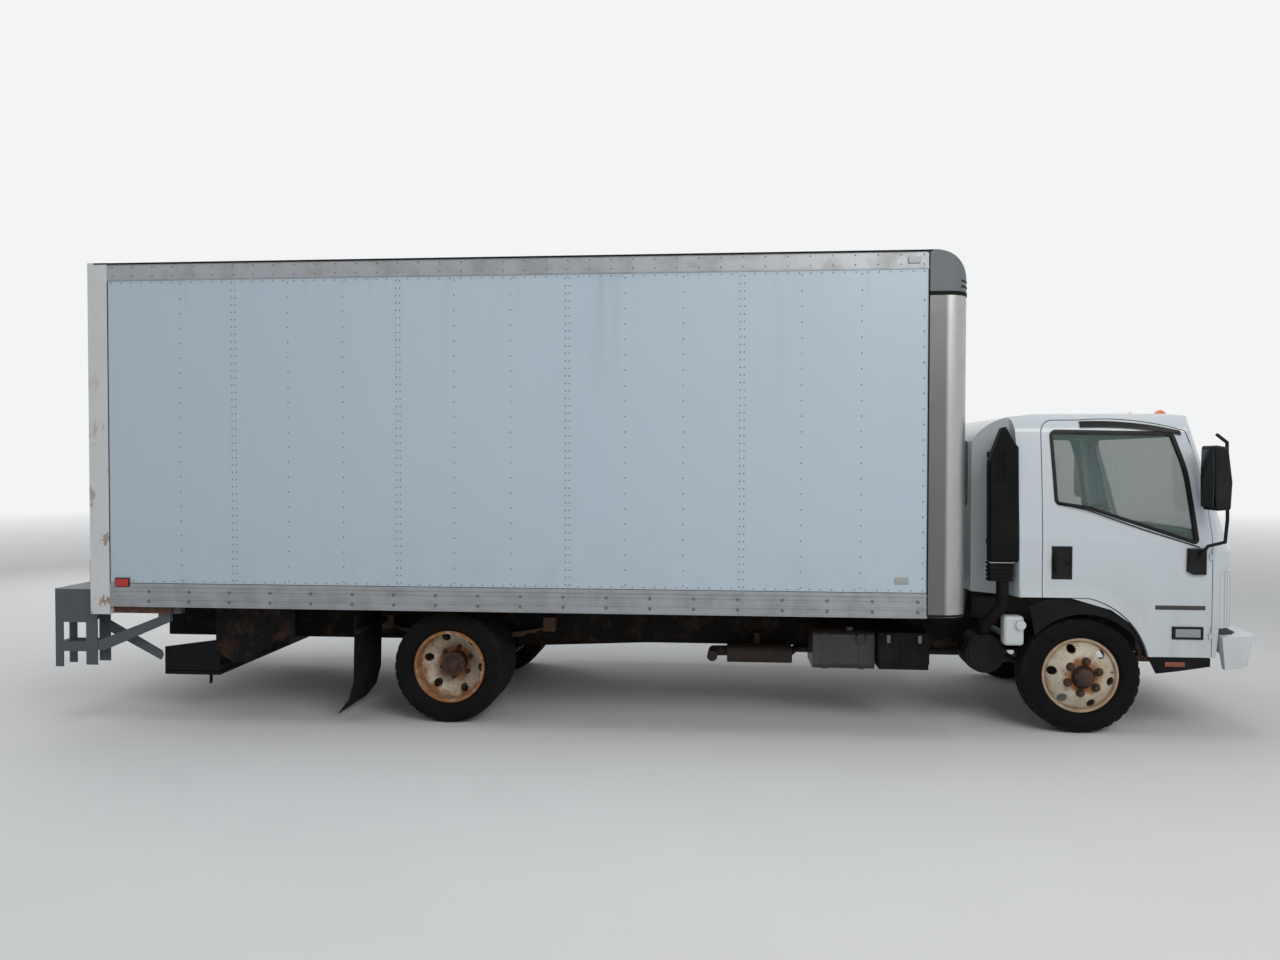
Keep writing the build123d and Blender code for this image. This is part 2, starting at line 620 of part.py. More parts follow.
# Rear frame: portal with a narrower lip behind the shutter
POST_WIDE = 55.0
LIP_WIDE = 95.0
HEADER_H = 130.0
lip_depth = 42
outer_face = [(-BODY_HALF, BODY_BOTTOM_Z - 57), (BODY_HALF, BODY_BOTTOM_Z - 57),
              (BODY_HALF, BODY_TOP_Z), (-BODY_HALF, BODY_TOP_Z)]
portal = cross_section(outer_face, BODY_REAR_X, panel_rear_x)
portal = portal - block(BODY_REAR_X - 5, BODY_REAR_X + lip_depth + 5, -BODY_HALF + LIP_WIDE,
                        BODY_HALF - LIP_WIDE, floor_top_z + 25, BODY_TOP_Z - HEADER_H - 40)
portal = portal - block(BODY_REAR_X + lip_depth, panel_rear_x + 5, -BODY_HALF + POST_WIDE,
                        BODY_HALF - POST_WIDE, floor_top_z, BODY_TOP_Z - 60)
save("rear_frame", portal)

SHUTTER_THICK = 25.0
shutter_x = BODY_REAR_X + lip_depth + SEAT
shutter_low = floor_top_z + SEAT
shutter_high = BODY_TOP_Z - HEADER_H - 5
shutter_half = BODY_HALF - LIP_WIDE + 25
shutter = block(shutter_x, shutter_x + SHUTTER_THICK, -shutter_half, shutter_half,
                shutter_low, shutter_high)
slat_count = 7
for k in range(1, slat_count):
    z = shutter_low + (shutter_high - shutter_low) * k / slat_count
    shutter = shutter - block(shutter_x - 5, shutter_x + 6, -shutter_half - 5, shutter_half + 5,
                              z - 4, z + 4)
shutter = shutter + block(shutter_x - 24, shutter_x, -90, 90, shutter_low + 30, shutter_low + 75)
save("roll_up_door", shutter)

# Rear step: tread plate, skirts, two legs frames each side and the braces forward
step_top_z = BODY_BOTTOM_Z + 118
step_front_x = BODY_REAR_X - SEAT
STEP_HALF = 1150.0
tread = block(REAR_X, step_front_x, -STEP_HALF, STEP_HALF, step_top_z - 10, step_top_z)
tread = tread + block(REAR_X, REAR_X + 8, -STEP_HALF, STEP_HALF, step_top_z - 110, step_top_z)
tread = tread + block(step_front_x - 8, step_front_x, -STEP_HALF, STEP_HALF, step_top_z - 130,
                      step_top_z)
leg_bottom_z = step_top_z - 563
rung_low_z = step_top_z - 465
rung_high_z = step_top_z - 394
window_top_z = step_top_z - 250
INNER_FRAME_Y = 1000.0
PLATE = 10.0


def leg_frame(outer_y):
    """Upright side plate with a window, a rung and two legs."""
    y0 = -outer_y
    y1 = -outer_y + PLATE
    front_x = step_front_x
    shape = block(REAR_X, front_x, y0, y1, window_top_z, step_top_z - 5)
    shape = shape + block(REAR_X, REAR_X + 59, y0, y1, leg_bottom_z - 17, step_top_z - 10)
    shape = shape + block(front_x - 86, front_x, y0, y1, leg_bottom_z, step_top_z - 10)
    shape = shape + block(REAR_X, front_x, y0, y1, rung_low_z, rung_high_z)
    return shape


outer_frame = leg_frame(STEP_HALF)
inner_frame = leg_frame(INNER_FRAME_Y)
rung = block(REAR_X + 4, REAR_X + 55, -STEP_HALF + 5, -INNER_FRAME_Y + 5, rung_high_z - 14, rung_high_z - 4)
for x in (REAR_X, step_front_x - 86):
    rung = rung + block(x, x + 8, -STEP_HALF, -STEP_HALF + 70, leg_bottom_z, step_top_z - 10)
OPENER_POINTS = [(270, -240), (270, -315), (722, -547), (740, -513), (728, -479), (318, -255)]
opener = side_plate([(REAR_X + dx, step_top_z + dz) for dx, dz in OPENER_POINTS],
                    -INNER_FRAME_Y - 2, -INNER_FRAME_Y + PLATE + 2)
BRACE_POINTS = [(-12, -453), (52, -453), (560, -235), (560, -145), (470, -145), (470, -203), (20, -378),
                (-12, -378)]
brace = side_plate([(BODY_REAR_X + dx, step_top_z + dz) for dx, dz in BRACE_POINTS],
                   -STEP_HALF + 5, -STEP_HALF + 40)
brace = brace + block(panel_rear_x + SEAT, bearer_first_x + 440, -STEP_HALF + 2, -STEP_HALF + 50,
                      BODY_BOTTOM_Z - 57, sill_top_z - SEAT)
half_step = outer_frame + inner_frame + rung + opener + brace
save("rear_step", fuse([tread, half_step, other_side(half_step)]))

# Tail lift: fixed frame under the rails, swinging arms, folded platform
tube_top = RAIL_BOTTOM_Z - SEAT
tube_low = tube_top - 90
lift_tube_x = BODY_REAR_X + LIFT_TUBE_SET
lift_pin_x = lift_tube_x - 90
lift_pin_z = (tube_low + tube_top) / 2
lift_hinge_x = lift_pin_x - 490
lift_hinge_z = lift_pin_z - 45
LIFT_EYE_R = 38.0
LIFT_ARM_W = 50.0
EAR = 14.0
EAR_GAP = 1.0
lift_plate_y = 1000.0
lift_frame = block(lift_tube_x - 45, lift_tube_x + 45, -lift_plate_y, lift_plate_y, tube_low, tube_top)
lift_cheek = side_plate([(lift_tube_x - 195, sill_top_z), (lift_tube_x - 195, RAIL_BOTTOM_Z - 10),
                         (lift_tube_x - 42, RAIL_BOTTOM_Z - 97), (lift_tube_x + 414, RAIL_BOTTOM_Z + 127),
                         (lift_tube_x + 414, sill_top_z)], -lift_plate_y, -lift_plate_y + 12)
lift_frame = lift_frame + lift_cheek + other_side(lift_cheek)
for side in (-1, 1):
    inner = side * (LIFT_ARM_Y - LIFT_ARM_W / 2 - EAR_GAP)
    outer = side * (LIFT_ARM_Y + LIFT_ARM_W / 2 + EAR_GAP)
    for near, far in ((inner, inner - side * EAR), (outer, outer + side * EAR)):
        ear = block(lift_pin_x, lift_tube_x - 45, near, far, lift_pin_z - LIFT_EYE_R,
                    lift_pin_z + LIFT_EYE_R)
        ear = ear + rod_y(lift_pin_x, near, far, lift_pin_z, LIFT_EYE_R)
        lift_frame = lift_frame + ear
    lift_frame = lift_frame + rod_y(lift_pin_x, inner - side * EAR, outer + side * EAR, lift_pin_z,
                                    LIFT_PIN_R)
save("lift_frame", lift_frame)

arm_line = [(lift_pin_x, lift_pin_z), (lift_hinge_x, lift_hinge_z)]
arms = None
for side in (-1, 1):
    y0 = side * LIFT_ARM_Y - LIFT_ARM_W / 2
    y1 = side * LIFT_ARM_Y + LIFT_ARM_W / 2
    bar = side_plate([(lift_pin_x, lift_pin_z - 30), (lift_pin_x, lift_pin_z + 30),
                      (lift_hinge_x, lift_hinge_z + 30), (lift_hinge_x, lift_hinge_z - 30)], y0, y1)
    for x, z in arm_line:
        bar = bar + rod_y(x, y0, y1, z, LIFT_EYE_R - 2)
    arms = bar if arms is None else arms + bar
arm_mid_x = (lift_pin_x + lift_hinge_x) / 2
arm_mid_z = (lift_pin_z + lift_hinge_z) / 2
arms = arms + rod_y(arm_mid_x, -LIFT_ARM_Y, LIFT_ARM_Y, arm_mid_z, 28)
for x, z in arm_line:
    arms = arms - rod_y(x, -LIFT_ARM_Y - 60, LIFT_ARM_Y + 60, z, LIFT_PIN_R + PIN_CLEARANCE)
save("lift_arms", arms)

PLATFORM_HALF = 960.0
platform_rear_x = lift_hinge_x - 38
platform_front_x = platform_rear_x + 428
stack_low = lift_hinge_z - 109
stack_top = lift_hinge_z - 52
platform = block(platform_rear_x, platform_front_x, -PLATFORM_HALF, PLATFORM_HALF, stack_low, stack_top)
platform = platform - block(platform_rear_x + 12, platform_front_x + 5, -PLATFORM_HALF - 5,
                            PLATFORM_HALF + 5, (stack_low + stack_top) / 2 - 3,
                            (stack_low + stack_top) / 2 + 3)
cheek = side_plate([(platform_rear_x, stack_top - 5), (platform_rear_x, stack_top + 150),
                    (platform_front_x, stack_top + 210), (platform_front_x, stack_top - 5)],
                   -PLATFORM_HALF, -PLATFORM_HALF + 12)
platform = platform + cheek + other_side(cheek)
for side in (-1, 1):
    inner = side * (LIFT_ARM_Y - LIFT_ARM_W / 2 - EAR_GAP)
    outer = side * (LIFT_ARM_Y + LIFT_ARM_W / 2 + EAR_GAP)
    for near, far in ((inner, inner - side * EAR), (outer, outer + side * EAR)):
        ear = block(lift_hinge_x - LIFT_EYE_R, lift_hinge_x + LIFT_EYE_R, near, far, stack_top - 5,
                    lift_hinge_z)
        ear = ear + rod_y(lift_hinge_x, near, far, lift_hinge_z, LIFT_EYE_R)
        platform = platform + ear
    platform = platform + rod_y(lift_hinge_x, inner - side * EAR, outer + side * EAR, lift_hinge_z,
                                LIFT_PIN_R)
save("lift_platform", platform)

# Mud flaps behind the twin wheels, each on a bar from its spring hanger
flap_x = REAR_AXLE_X - REAR_SPRING_SPAN - 40
flap_in_y = REAR_SPRING_Y + 60
flap_top_z = BODY_BOTTOM_Z - 57
FLAP_OUTER_Y = 1100.0
flap = side_plate([(flap_x, flap_top_z), (flap_x, 600), (flap_x - 6, 300), (flap_x - 44, 160),
                   (flap_x - 120, 62), (flap_x - 125, 66), (flap_x - 50, 164), (flap_x - 12, 302),
                   (flap_x - 6, 600), (flap_x - 6, flap_top_z)],
                  -FLAP_OUTER_Y, -flap_in_y)
bar = block(flap_x + SEAT, flap_x + 35, -FLAP_OUTER_Y + 10, -REAR_SPRING_Y - 30 - SEAT, RAIL_TOP_Z - 66,
            RAIL_TOP_Z - 26)
save("mud_flaps", both(flap + bar))

# Cab outlines. A point is the end of a line; a pair is the middle and end of an arc.
CAB_SIDE_LOW_Y = 720.0
TOE_X = 340.0
WELL_BACK_X = 448.0
WELL_FRONT_X = 828.0
SCREEN_LEAN = 0.33
CAB_CORNER_X = -445.0
CORNER_BACK_Y = -CAB_HALF + 300
CORNER_TURN_X = -486.0
CORNER_TURN_Y = -CAB_HALF + 126
CAB_FLOOR_BEND_X = -106.0
cab_side_path = [
    (CAB_BACK_X, CAB_FLOOR_Z),
    (CAB_FLOOR_BEND_X, CAB_FLOOR_Z),
    (170, CAB_FLOOR_Z - 80),
    (TOE_X, CAB_TOE_Z),
    (CAB_FRONT_X - 110, CAB_TOE_Z),
    (CAB_FRONT_X - 12, CAB_NOSE_Z),
    (CAB_FRONT_X + 30, CAB_NOSE_Z + 90),
    (CAB_FRONT_X + 30, CAB_WAIST_Z + 410),
    (CAB_FRONT_X - 230, CAB_ROOF_Z - 175),
    ((CAB_FRONT_X - 290, CAB_ROOF_Z - 85), (CAB_FRONT_X - 390, CAB_ROOF_Z - 38)),
    ((195, CAB_ROOF_Z), (-430, CAB_ROOF_Z - 40)),
    ((-600, CAB_ROOF_Z - 95), (CAB_BACK_X, CAB_ROOF_Z - 215)),
]
cab_well_path = [
    (WELL_BACK_X, CAB_STEP_Z),
    (WELL_FRONT_X + 40, CAB_STEP_Z),
    (WELL_FRONT_X + 60, CAB_NOSE_Z + 20),
    (WELL_FRONT_X + 60, CAB_FLOOR_Z + 240),
    (TOE_X, CAB_FLOOR_Z + 240),
    (TOE_X, CAB_TOE_Z + 20),
    (WELL_BACK_X, CAB_STEP_Z + 110),
]
nose_half = [
    (-2600, -CAB_HALF - 220),
    (CAB_FRONT_X - 300, -CAB_HALF),
    (CAB_FRONT_X - 230, -CAB_HALF + 10),
    (CAB_FRONT_X - 165, -CAB_HALF + 38),
    (CAB_FRONT_X - 112, -CAB_HALF + 82),
    (CAB_FRONT_X - 74, -CAB_HALF + 140),
    (CAB_FRONT_X - 45, -CAB_HALF + 280),
    (CAB_FRONT_X - 16, -CAB_HALF + 560),
    (CAB_FRONT_X, -CAB_HALF + 800),
]
rear_half = [
    (CAB_BACK_X, CORNER_BACK_Y),
    (CORNER_TURN_X, CORNER_TURN_Y),
    (CAB_CORNER_X + 5.7, -CAB_HALF - 20),
    (1500, -CAB_HALF - 20),
]
cab_face_half = [
    (-CAB_HALF, CAB_BELT_Z),
    ((-CAB_HALF + 18, CAB_BELT_Z + 330), (-CAB_HALF + 62, CAB_ROOF_Z - 155)),
    ((-CAB_HALF + 112, CAB_ROOF_Z - 70), (-CAB_HALF + 240, CAB_ROOF_Z - 22)),
]


def ends_of(path):
    """End point of each piece of a path."""
    return [item[1] if isinstance(item[0], tuple) else item for item in path]


def arc_centre(a, b, c):
    """Centre of the circle through three points."""
    d = 2 * (a[0] * (b[1] - c[1]) + b[0] * (c[1] - a[1]) + c[0] * (a[1] - b[1]))
    aa = a[0] ** 2 + a[1] ** 2
    bb = b[0] ** 2 + b[1] ** 2
    cc = c[0] ** 2 + c[1] ** 2
    x = (aa * (b[1] - c[1]) + bb * (c[1] - a[1]) + cc * (a[1] - b[1])) / d
    y = (aa * (c[0] - b[0]) + bb * (a[0] - c[0]) + cc * (b[0] - a[0])) / d
    return x, y


def unit(x, y):
    """Direction of length one."""
    size = math.hypot(x, y)
    return x / size, y / size


def rounded(points, radii):
    """Closed path round the points, with an arc of the given radius at each."""
    path = []
    count = len(points)
    for k in range(count):
        px, py = points[k]
        back = unit(points[k - 1][0] - px, points[k - 1][1] - py)
        ahead = unit(points[(k + 1) % count][0] - px, points[(k + 1) % count][1] - py)
        half_angle = math.acos(back[0] * ahead[0] + back[1] * ahead[1]) / 2
        reach = radii[k] / math.tan(half_angle)
        inward = unit(back[0] + ahead[0], back[1] + ahead[1])
        depth = radii[k] / math.sin(half_angle) - radii[k]
        path.append((px + back[0] * reach, py + back[1] * reach))
        path.append(((px + inward[0] * depth, py + inward[1] * depth),
                     (px + ahead[0] * reach, py + ahead[1] * reach)))
    return path


def inset_path(path, inset):
    """The same path of lines and arcs, drawn in by a distance all round."""
    ends = ends_of(path)
    count = len(path)
    area = 0
    for k in range(count):
        area += ends[k - 1][0] * ends[k][1] - ends[k][0] * ends[k - 1][1]
    inward = 1 if area > 0 else -1
    headings = []
    middles = []
    for k in range(count):
        start, end = ends[k - 1], ends[k]
        if isinstance(path[k][0], tuple):
            middle = path[k][0]
            cx, cy = arc_centre(start, middle, end)
            cross = (middle[0] - start[0]) * (end[1] - start[1]) - (middle[1] - start[1]) * (end[0] - start[0])
            turn = 1 if cross > 0 else -1
            leave = unit(-turn * (start[1] - cy), turn * (start[0] - cx))
            arrive = unit(-turn * (end[1] - cy), turn * (end[0] - cx))
            across = unit(-turn * (middle[1] - cy), turn * (middle[0] - cx))
            middles.append((middle[0] - inward * inset * across[1], middle[1] + inward * inset * across[0]))
        else:
            leave = unit(end[0] - start[0], end[1] - start[1])
            arrive = leave
            middles.append(None)
        headings.append((leave, arrive))
    moved = []
    for k in range(count):
        ax, ay = headings[k][1]
        bx, by = headings[(k + 1) % count][0]
        share = 1 + ax * bx + ay * by
        moved.append((ends[k][0] - inward * inset * (ay + by) / share,
                      ends[k][1] + inward * inset * (ax + bx) / share))
    return [(middles[k], moved[k]) if middles[k] else moved[k] for k in range(count)]


def drawn(path, inset=0):
    """Flat face from a closed path of lines and arcs."""
    if inset:
        path = inset_path(path, inset)
    edges = []
    last = ends_of(path)[-1]
    for item in path:
        if isinstance(item[0], tuple):
            middle, end = item
            edges.append(Edge.make_three_point_arc(last, middle, end))
        else:
            end = item
            edges.append(Edge.make_line(last, end))
        last = end
    return Face(Wire(edges))


def mirrored_path(half, middle):
    """Closed path from one half: across the middle by the given arc point, then back."""
    path = list(half)
    ends = ends_of(half)
    mids = [item[0] if isinstance(item[0], tuple) else None for item in half]
    flip = middle[2]
    path.append((middle[:2], flip(ends[-1])))
    for k in range(len(half) - 1, 0, -1):
        goal = flip(ends[k - 1])
        path.append((flip(mids[k]), goal) if mids[k] else goal)
    return path


def flip_plan(point):
    """Mirror a plan point across the centre line."""
    return (point[0], -point[1])


def flip_face(point):
    """Mirror a front-view point across the centre line."""
    return (-point[0], point[1])


nose_path = nose_half + [flip_plan(point) for point in reversed(nose_half)]
rear_path = rear_half + [flip_plan(point) for point in reversed(rear_half)]
cab_face_path = mirrored_path([(-CAB_HALF, CAB_STEP_Z - 200)] + cab_face_half,
                              (0, CAB_ROOF_Z + 6, flip_face))
SIDE_PLANE = Plane(origin=(0, 0, 0), x_dir=(1, 0, 0), z_dir=(0, -1, 0))
FRONT_PLANE = Plane(origin=(0, 0, 0), x_dir=(0, 1, 0), z_dir=(1, 0, 0))
screen_way = Vector(-SCREEN_LEAN, 0, 1).normalized()


def nose_prism(inset):
    """Upright prism round the nose."""
    return extrude(drawn(nose_path, inset), amount=CAB_WAIST_Z)


def side_solid(inset):
    """Solid between the cab's sides and round its nose, with the windscreen's lean above the waist."""
    nose = drawn(nose_path, inset)
    leaning = extrude(Pos(0, 0, CAB_WAIST_Z) * nose, amount=1200, dir=screen_way)
    rear = extrude(drawn(rear_path, inset), amount=3000)
    front = extrude(FRONT_PLANE * drawn(cab_face_path, inset), amount=1500, both=True)
    return rear & front & (nose_prism(inset) + leaning)


def cab_solid(inset):
    """Solid inside the cab's skin, drawn in by the given distance."""
    nose = drawn(nose_path, inset)
    upright = extrude(nose, amount=CAB_WAIST_Z)
    leaning = extrude(Pos(0, 0, CAB_WAIST_Z) * nose, amount=1200, dir=screen_way)
    rear = extrude(drawn(rear_path, inset), amount=3000)
    front = extrude(FRONT_PLANE * drawn(cab_face_path, inset), amount=1500, both=True)
    side = extrude(SIDE_PLANE * drawn(cab_side_path, inset), amount=CAB_HALF + 50, both=True)
    wells = extrude(SIDE_PLANE * drawn(cab_well_path, inset), amount=CAB_HALF + 50, both=True)
    wells = wells - block(-1000, 2000, -CAB_SIDE_LOW_Y - inset, CAB_SIDE_LOW_Y + inset, 0, 3000)
    cab = (side & rear & front) & (upright + leaning)
    return cab + (wells & upright & front)


def on_right(path, inset=0, depth=175):
    """Outline in X and Z as a region through the cab's right side."""
    return Pos(0, -CAB_HALF, 0) * (SIDE_PLANE * extrude(drawn(path, inset), amount=depth, both=True))


cab_skin = cab_solid(0) - cab_solid(CAB_WALL)

# Wheel arch: the door's lower edge follows a circle behind the tyre, with a raised lip round it
ARCH_X = -99.0
ARCH_FLAT_X = 18.0
LIP_WIDE = 86.0
LIP_PROUD = 9.0
arch_z = AXLE_Z + 41
arch_r = TYRE_R + 124
door_low_z = CAB_STEP_Z + 2
DOOR_BACK_X = -290.0


def arch_height(radius, x):
    """Height of the arch circle at this X."""
    return arch_z + math.sqrt(radius ** 2 - (x - ARCH_X) ** 2)


def arch_ahead(radius, z):
    """X of the arch circle, ahead of the wheel, at this height."""
    return ARCH_X + math.sqrt(radius ** 2 - (z - arch_z) ** 2)


arch_top_z = arch_height(arch_r, ARCH_FLAT_X)
arch_mid = (ARCH_X + arch_r * math.cos(math.radians(45)), arch_z + arch_r * math.sin(math.radians(45)))
door_path = [
    (DOOR_BACK_X, arch_top_z),
    (ARCH_FLAT_X, arch_top_z),
    (arch_mid, (arch_ahead(arch_r, door_low_z), door_low_z)),
    (831, door_low_z),
    (834, CAB_BELT_Z - 20),
    ((752, CAB_BELT_Z + 490), (664, CAB_ROOF_Z - 150)),
    ((455, CAB_ROOF_Z - 96), (-30, CAB_ROOF_Z - 74)),
    (-200, CAB_ROOF_Z - 74),
    ((-264, CAB_ROOF_Z - 100), (DOOR_BACK_X, CAB_ROOF_Z - 164)),
]
window_corners = [
    (-239, CAB_ROOF_Z - 137),
    (588, CAB_ROOF_Z - 152),
    (676, CAB_BELT_Z + 495),
    (748, CAB_BELT_Z - 24),
    (12, CAB_BELT_Z + 222),
    (-210, CAB_BELT_Z + 253),
]
window_path = rounded(window_corners, [45, 60, 900, 30, 200, 45])
SEAL_WIDE = 24.0
SEAL_PROUD = 4.0
door_region = on_right(door_path)
opening_region = on_right(door_path, -DOOR_GAP)

lip_section = [
    (-CAB_HALF - LIP_PROUD, arch_r),
    (-CAB_HALF + 0.5, arch_r + LIP_WIDE),
    (-CAB_HALF + 12, arch_r + LIP_WIDE),
    (-CAB_HALF + 12, arch_r),
]
lip_round = Pos(ARCH_X, 0, arch_z) * Rot(90, 0, 0) * revolve(
    Face(Wire.make_polygon([Vector(r, 0, -y) for y, r in lip_section], close=True)), axis=Axis.Z)
lip_round = lip_round & block(ARCH_FLAT_X, 1000, -1100, 0, door_low_z, 2000)
lip_straight = cross_section([(y, r - arch_r + arch_top_z) for y, r in lip_section],
                             CAB_CORNER_X + 8, ARCH_FLAT_X)
door_lip = (lip_round + lip_straight) & door_region
cab_lip = lip_straight & block(-1000, DOOR_BACK_X - DOOR_GAP, -1100, 0, 0, 2000)

screen_outline = [
    (-CAB_HALF + 120, CAB_BELT_Z + 50),
    (CAB_HALF - 120, CAB_BELT_Z + 50),
    (CAB_HALF - 170, CAB_ROOF_Z - 177),
    (-CAB_HALF + 170, CAB_ROOF_Z - 177),
]
back_outline = [
    (-600, CAB_BELT_Z + 223),
    (600, CAB_BELT_Z + 223),
    (600, CAB_ROOF_Z - 211),
    (-600, CAB_ROOF_Z - 211),
]
screen_path = rounded(screen_outline, [60, 60, 60, 60])
back_path = rounded(back_outline, [50, 50, 50, 50])


def across(path, x0, x1, inset=0):
    """Outline in Y and Z as a region along X."""
    return Pos(x0, 0, 0) * (FRONT_PLANE * extrude(drawn(path, inset), amount=x1 - x0))


# Door hinges: a barrel on the door and one on the cab, on a pin just outside the skin
HINGE_X = 834.0
HINGE_Y = -CAB_HALF - 3
HINGE_R = 8.0
HINGE_PIN_R = 4.0
HINGE_LEAF = 40.0
hinge_zs = [CAB_STEP_Z + 130, CAB_FLOOR_Z + 270]
hinge_notch = fuse([rod_z(HINGE_X, HINGE_Y, z - 2, z + 2 * HINGE_LEAF + 3, HINGE_R + 2) for z in hinge_zs])


def door_barrel(z):
    """Lower barrel with its pin, joined to the door's front edge."""
    barrel = rod_z(HINGE_X, HINGE_Y, z, z + HINGE_LEAF, HINGE_R)
    leaf = block(HINGE_X - 22, HINGE_X, HINGE_Y - 3, HINGE_Y + 22, z, z + HINGE_LEAF)
    pin = rod_z(HINGE_X, HINGE_Y, z, z + 2 * HINGE_LEAF, HINGE_PIN_R)
    return barrel + leaf + pin


def cab_barrel(z):
    """Upper barrel, joined to the cab beside the door."""
    low = z + HINGE_LEAF + 1
    barrel = rod_z(HINGE_X, HINGE_Y, low, low + HINGE_LEAF, HINGE_R)
    leaf = block(HINGE_X, HINGE_X + 22, HINGE_Y - 3, HINGE_Y + 22, low, low + HINGE_LEAF)
    return barrel + leaf


cab_barrels = fuse([cab_barrel(z) for z in hinge_zs])
pin_bores = fuse([rod_z(HINGE_X, HINGE_Y, z + HINGE_LEAF, z + 2 * HINGE_LEAF + 2, HINGE_PIN_R + PIN_CLEARANCE)
                  for z in hinge_zs])

# Seams between the pressed panels of the shell: roof, rear wall, floors, step wells, front, pillars
SMALLEST_PANEL = 50000.0
FAR = 1100.0
roof_seam_z = CAB_ROOF_Z - 152
scuttle_z = CAB_BELT_Z + 50
front_seam_x = WELL_FRONT_X + 62
sill_y = CAB_HALF - CAB_WALL - DOOR_GAP - 10
header_y = CAB_HALF - 165
floor_seam_z = CAB_FLOOR_Z + 100
sill_seam_z = CAB_FLOOR_Z + CAB_WALL + 10
PILLAR_FRONT_X = 500.0
corner_seam_x = CAB_CORNER_X + 3
seams = [
    block(-1000, 1500, -FAR, FAR, roof_seam_z, roof_seam_z + SEAT),
    block(corner_seam_x, corner_seam_x + SEAT, -FAR, FAR, 500, roof_seam_z),
    block(CAB_FLOOR_BEND_X, CAB_FLOOR_BEND_X + SEAT, -FAR, FAR, 500, floor_seam_z),
    block(TOE_X, TOE_X + SEAT, -FAR, FAR, 500, floor_seam_z),
    block(front_seam_x, front_seam_x + SEAT, -sill_y, sill_y, 500, scuttle_z),
    block(PILLAR_FRONT_X, 1500, -FAR, FAR, scuttle_z, scuttle_z + SEAT),
    block(corner_seam_x, CAB_FLOOR_BEND_X, -FAR, FAR, sill_seam_z, sill_seam_z + SEAT),
]
for side in (-1, 1):
    seams.append(block(TOE_X, front_seam_x, side * (CAB_SIDE_LOW_Y - CAB_WALL - 10), side * FAR,
                       CAB_TOE_Z, CAB_TOE_Z + SEAT))
    seams.append(block(TOE_X, front_seam_x + 5, side * sill_y, side * (sill_y + SEAT), 500, CAB_FLOOR_Z))
    seams.append(block(PILLAR_FRONT_X, 1500, side * header_y, side * (header_y + SEAT), scuttle_z, roof_seam_z))

# Cab shell, then its doors and panes cut from the same skin
door_cut = (side_solid(-LIP_PROUD - 5) & opening_region) - side_solid(CAB_WALL + DOOR_GAP)
shell = cab_skin - door_cut - other_side(door_cut)
shell = shell + cab_lip + other_side(cab_lip)
shell = shell - hinge_notch - other_side(hinge_notch)
shell = shell + cab_barrels + other_side(cab_barrels) - pin_bores - other_side(pin_bores)
shell = shell - across(screen_path, PILLAR_FRONT_X, 1300) - across(back_path, CAB_BACK_X - 100, CAB_BACK_X + 200)
for seam in seams:
    shell = shell - seam
save("cab_shell", group([panel for panel in shell.solids() if panel.volume > SMALLEST_PANEL]))

door = (side_solid(0) & door_region) - side_solid(CAB_WALL)
door = door - on_right(window_path) + door_lip - hinge_notch
door = door + fuse([door_barrel(z) for z in hinge_zs])
door_body = max(door.solids(), key=lambda s: s.volume)
save("door_right", door_body)
save("door_left", other_side(door_body))

pane_block = side_solid(GLASS_INSET) & on_right(window_path, SEAL_WIDE + SEAT)
door_pane = max((pane_block - side_solid(GLASS_INSET + GLASS_THICK)).solids(), key=lambda s: s.volume)
save("door_glass_right", door_pane)
save("door_glass_left", other_side(door_pane))
screen_region = across(screen_path, PILLAR_FRONT_X + 50, 1300, SEAT)
back_region = across(back_path, CAB_BACK_X - 50, CAB_BACK_X + 150, SEAT)
windscreen = (cab_solid(GLASS_INSET) & screen_region) - cab_solid(GLASS_INSET + GLASS_THICK)
back_pane = (cab_solid(GLASS_INSET) & back_region) - cab_solid(GLASS_INSET + GLASS_THICK)
save("cab_glass", group([windscreen, back_pane]))

# Cab underframe: a beam under the nose with an ear over each tilt pin
TILT_EAR_Y = 460.0
TILT_EAR_W = 28.0
beam_half = TILT_EAR_Y + TILT_EAR_W / 2
cab_beam = block(TILT_X - 185, TILT_X - 110, -beam_half, beam_half, CAB_TOE_Z - 40, CAB_TOE_Z - SEAT)
for side in (-1, 1):
    y0 = side * TILT_EAR_Y - TILT_EAR_W / 2
    y1 = side * TILT_EAR_Y + TILT_EAR_W / 2
    ear = side_plate([(TILT_X - 155, CAB_TOE_Z - 40), (TILT_X - 110, CAB_TOE_Z - SEAT), (TILT_X + 20, TILT_Z + 24),
                      (TILT_X, TILT_Z - 34), (TILT_X - 30, TILT_Z - 20)], y0, y1)
    cab_beam = cab_beam + ear + rod_y(TILT_X, y0, y1, TILT_Z, 36)
for side in (-1, 1):
    cab_beam = cab_beam - rod_y(TILT_X, side * TILT_EAR_Y - 30, side * TILT_EAR_Y + 30, TILT_Z,
                                TILT_PIN_R + PIN_CLEARANCE)
save("cab_underframe", cab_beam)

# Tilt lugs on the rail ends, the rear cab rest, and the front bumper
lug_y = RAIL_OUTER_Y + SEAT
lug = block(RAIL_FRONT_X - 90, TILT_X, -lug_y - 14, -lug_y, TILT_Z - 36, RAIL_TOP_Z + 8)
lug = lug + rod_y(TILT_X, -lug_y - 14, -lug_y, TILT_Z, 36)
lug = lug + rod_y(TILT_X, -TILT_EAR_Y - TILT_EAR_W / 2 - 8, -lug_y, TILT_Z, TILT_PIN_R)
rest_x = ENGINE_REAR_X - 40
rest = block(rest_x - 20, rest_x + 20, -RAIL_OUTER_Y, -RAIL_INNER_Y, RAIL_TOP_Z + SEAT, CAB_FLOOR_Z - 12)
rest = rest + block(rest_x - 20, rest_x + 20, -RAIL_OUTER_Y, 0, CAB_FLOOR_Z - 65, CAB_FLOOR_Z - 25)
